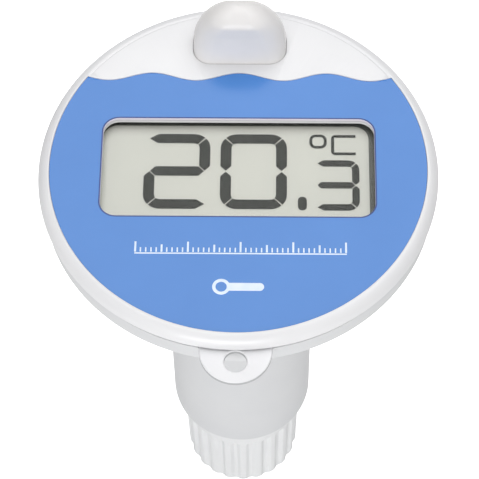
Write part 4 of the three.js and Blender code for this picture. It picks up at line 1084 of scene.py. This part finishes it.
# %% [markdown]
# ## Pieces that keep their frame shape
# The boards, cells, wires and contacts already have the right shape. They only need real surfaces. Soft
# edges on the boxy ones catch the light as a moulded or sawn edge does.

# %% Paint the inside
contacts = ["contact_spring_1", "contact_spring_2", "contact_bridge"]
contacts += ["contact_plate_positive", "contact_plate_negative"]
painted = 0
for material, names in (
    (enamelled_copper, ["antenna_coil"]),
    (black_rubber, ["dome_gasket", *(f"screw_washer_{i}" for i in range(1, 5))]),
    (plated_steel, [f"board_screw_{i}" for i in range(1, 5)]),
    (black_abs, ["lcd_frame", "battery_carrier", "send_key_body", "unit_slider"]),
    (zebra_silicone, ["connector_strip_front", "connector_strip_rear"]),
    (solder_mask, ["main_board", "key_board"]),
    (epoxy, ["control_chip", "thermistor"]),
    (tin_can, ["radio_module", "crystal_can", "unit_switch_body"]),
    (nickel, contacts),
    (red_vinyl, ["power_wire_red"]),
    (black_vinyl, ["power_wire_black", "thermistor_lead"]),
    (ribbon_film, ["key_ribbon"]),
    (white_key, ["send_button"]),
):
    for name in names:
        coat(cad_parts[name], material)
        painted += 1
boxy = ["main_board", "key_board", "control_chip", "radio_module", "crystal_can", "send_key_body"]
for name in boxy + ["unit_switch_body", "lcd_frame"]:
    edged(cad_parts[name], 0.15)
wires = ["antenna_coil", "contact_spring_1", "contact_spring_2", "power_wire_red", "power_wire_black"]
for name in wires + ["thermistor_lead"]:
    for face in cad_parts[name].data.polygons:
        face.use_smooth = True
print(f"painted {painted} inner pieces, and the {len(cell_bands)} cells before them")

# %% [markdown]
# ## Camera, floor and light
# The camera looks down at the face from the front, a long lens at arm's length. A wide panel overhead lights
# the face, a smaller one low in front fills the rim, the stem and the cap, and a pale floor and a pale room
# soften the rest. The panels are drawn by their size and radiance, since those set the look of a reflection.

# %% Camera
TARGET = Vector((0.03, 0, 127.63)) * MM
AZIMUTH, ELEVATION, ROLL = math.radians(1.59), math.radians(59.3), math.radians(1.01)
DISTANCE, SENSOR, LENS = 0.636, 36, 165.4  # metres, then millimetres
level = math.cos(ELEVATION)
back = Vector((math.sin(AZIMUTH) * level, -math.cos(AZIMUTH) * level, math.sin(ELEVATION)))
right = Vector((math.cos(AZIMUTH), math.sin(AZIMUTH), 0))
up = back.cross(right)
tilted_right = right * math.cos(ROLL) - up * math.sin(ROLL)
tilted_up = right * math.sin(ROLL) + up * math.cos(ROLL)
camera = placed("camera", bpy.data.cameras.new("camera"))
turned_to = Matrix((tilted_right, tilted_up, back)).transposed().to_4x4()
camera.matrix_world = Matrix.Translation(TARGET + back * DISTANCE) @ turned_to
camera.data.sensor_width, camera.data.lens = SENSOR, LENS
camera.data.clip_start, camera.data.clip_end = 0.05, 20
bpy.context.scene.camera = camera
print(f"camera {DISTANCE} m from the face, lens {LENS} mm")

# %% Floor
FLOOR_HALF = 1500
floor_points = [(x, y, 0) for x, y in rectangle(-FLOOR_HALF, FLOOR_HALF, -FLOOR_HALF, FLOOR_HALF)]
floor = mesh_object("floor", floor_points, [(0, 1, 2, 3)])
paper = finish("white_paper_floor", "#F4F4F4", "#F7F7F7", 0.9, 80, 1.2, 0.01)
# the paper is burnt out to white where it is seen, as behind a studio product, and bounces as paper does
tree = paper.node_tree
glow = node(tree, "Emission", {"Color": linear("#FFFFFF")})
seen = node(tree, "LightPath")
share = node(tree, "Math", {1: 0.85}, {0: seen.outputs["Is Camera Ray"]}, operation="MULTIPLY")
bright = node(tree, "Math", {1: 0.05}, {0: share.outputs[0]}, operation="ADD")
tree.links.new(bright.outputs[0], glow.inputs["Strength"])
both = node(tree, "AddShader", links={0: tree.nodes["Principled BSDF"].outputs[0], 1: glow.outputs[0]})
tree.links.new(both.outputs[0], tree.nodes["Material Output"].inputs["Surface"])
floor.data.materials.append(paper)
floor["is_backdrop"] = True
print("floor:", paper.name)

# %% Light
AIM = Vector((0, 0, FACE * MM))


def panel(name, place, size, radiance, facing=None):
    """A flat lamp of that size, in metres, at a place measured from the face. It faces the face, or down."""
    lamp = placed(name, bpy.data.lights.new(name, "AREA"))
    lamp.data.shape, lamp.data.size, lamp.data.size_y = "RECTANGLE", size[0], size[1]
    lamp.data.energy = radiance * math.pi * size[0] * size[1]
    lamp.location = AIM + Vector(place)
    lamp.rotation_mode = "QUATERNION"
    lamp.rotation_quaternion = Vector(facing or place).to_track_quat("Z", "Y")
    print(f"{name}: {lamp.data.energy:.2f} W")


panel("ceiling_panel", (0.10, 0.31, 0.75), (0.9, 0.9), 2.15, (0, 0, 1))
panel("front_fill", (-0.12, -1.0, 0.20), (0.7, 0.5), 5.3)
world = bpy.data.worlds.new("pale_room")
world.use_nodes = True
world.node_tree.nodes["Background"].inputs["Color"].default_value = linear("#F6F6F7")
world.node_tree.nodes["Background"].inputs["Strength"].default_value = 0.42
bpy.context.scene.world = world
bpy.context.scene.view_settings.view_transform = "Standard"
bpy.context.scene.view_settings.look = "None"

# %% [markdown]
# ## Sizes of the frame and the finished model
# The finished model must stay inside the frame's own box, so both boxes are printed side by side.

# %% Print the sizes
final_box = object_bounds()
for axis, a, b, c, d in zip("xyz", cad_box[0], cad_box[1], final_box[0], final_box[1]):
    print(f"{axis}: frame {a / MM:.2f} to {b / MM:.2f} mm, finished {c / MM:.2f} to {d / MM:.2f} mm")
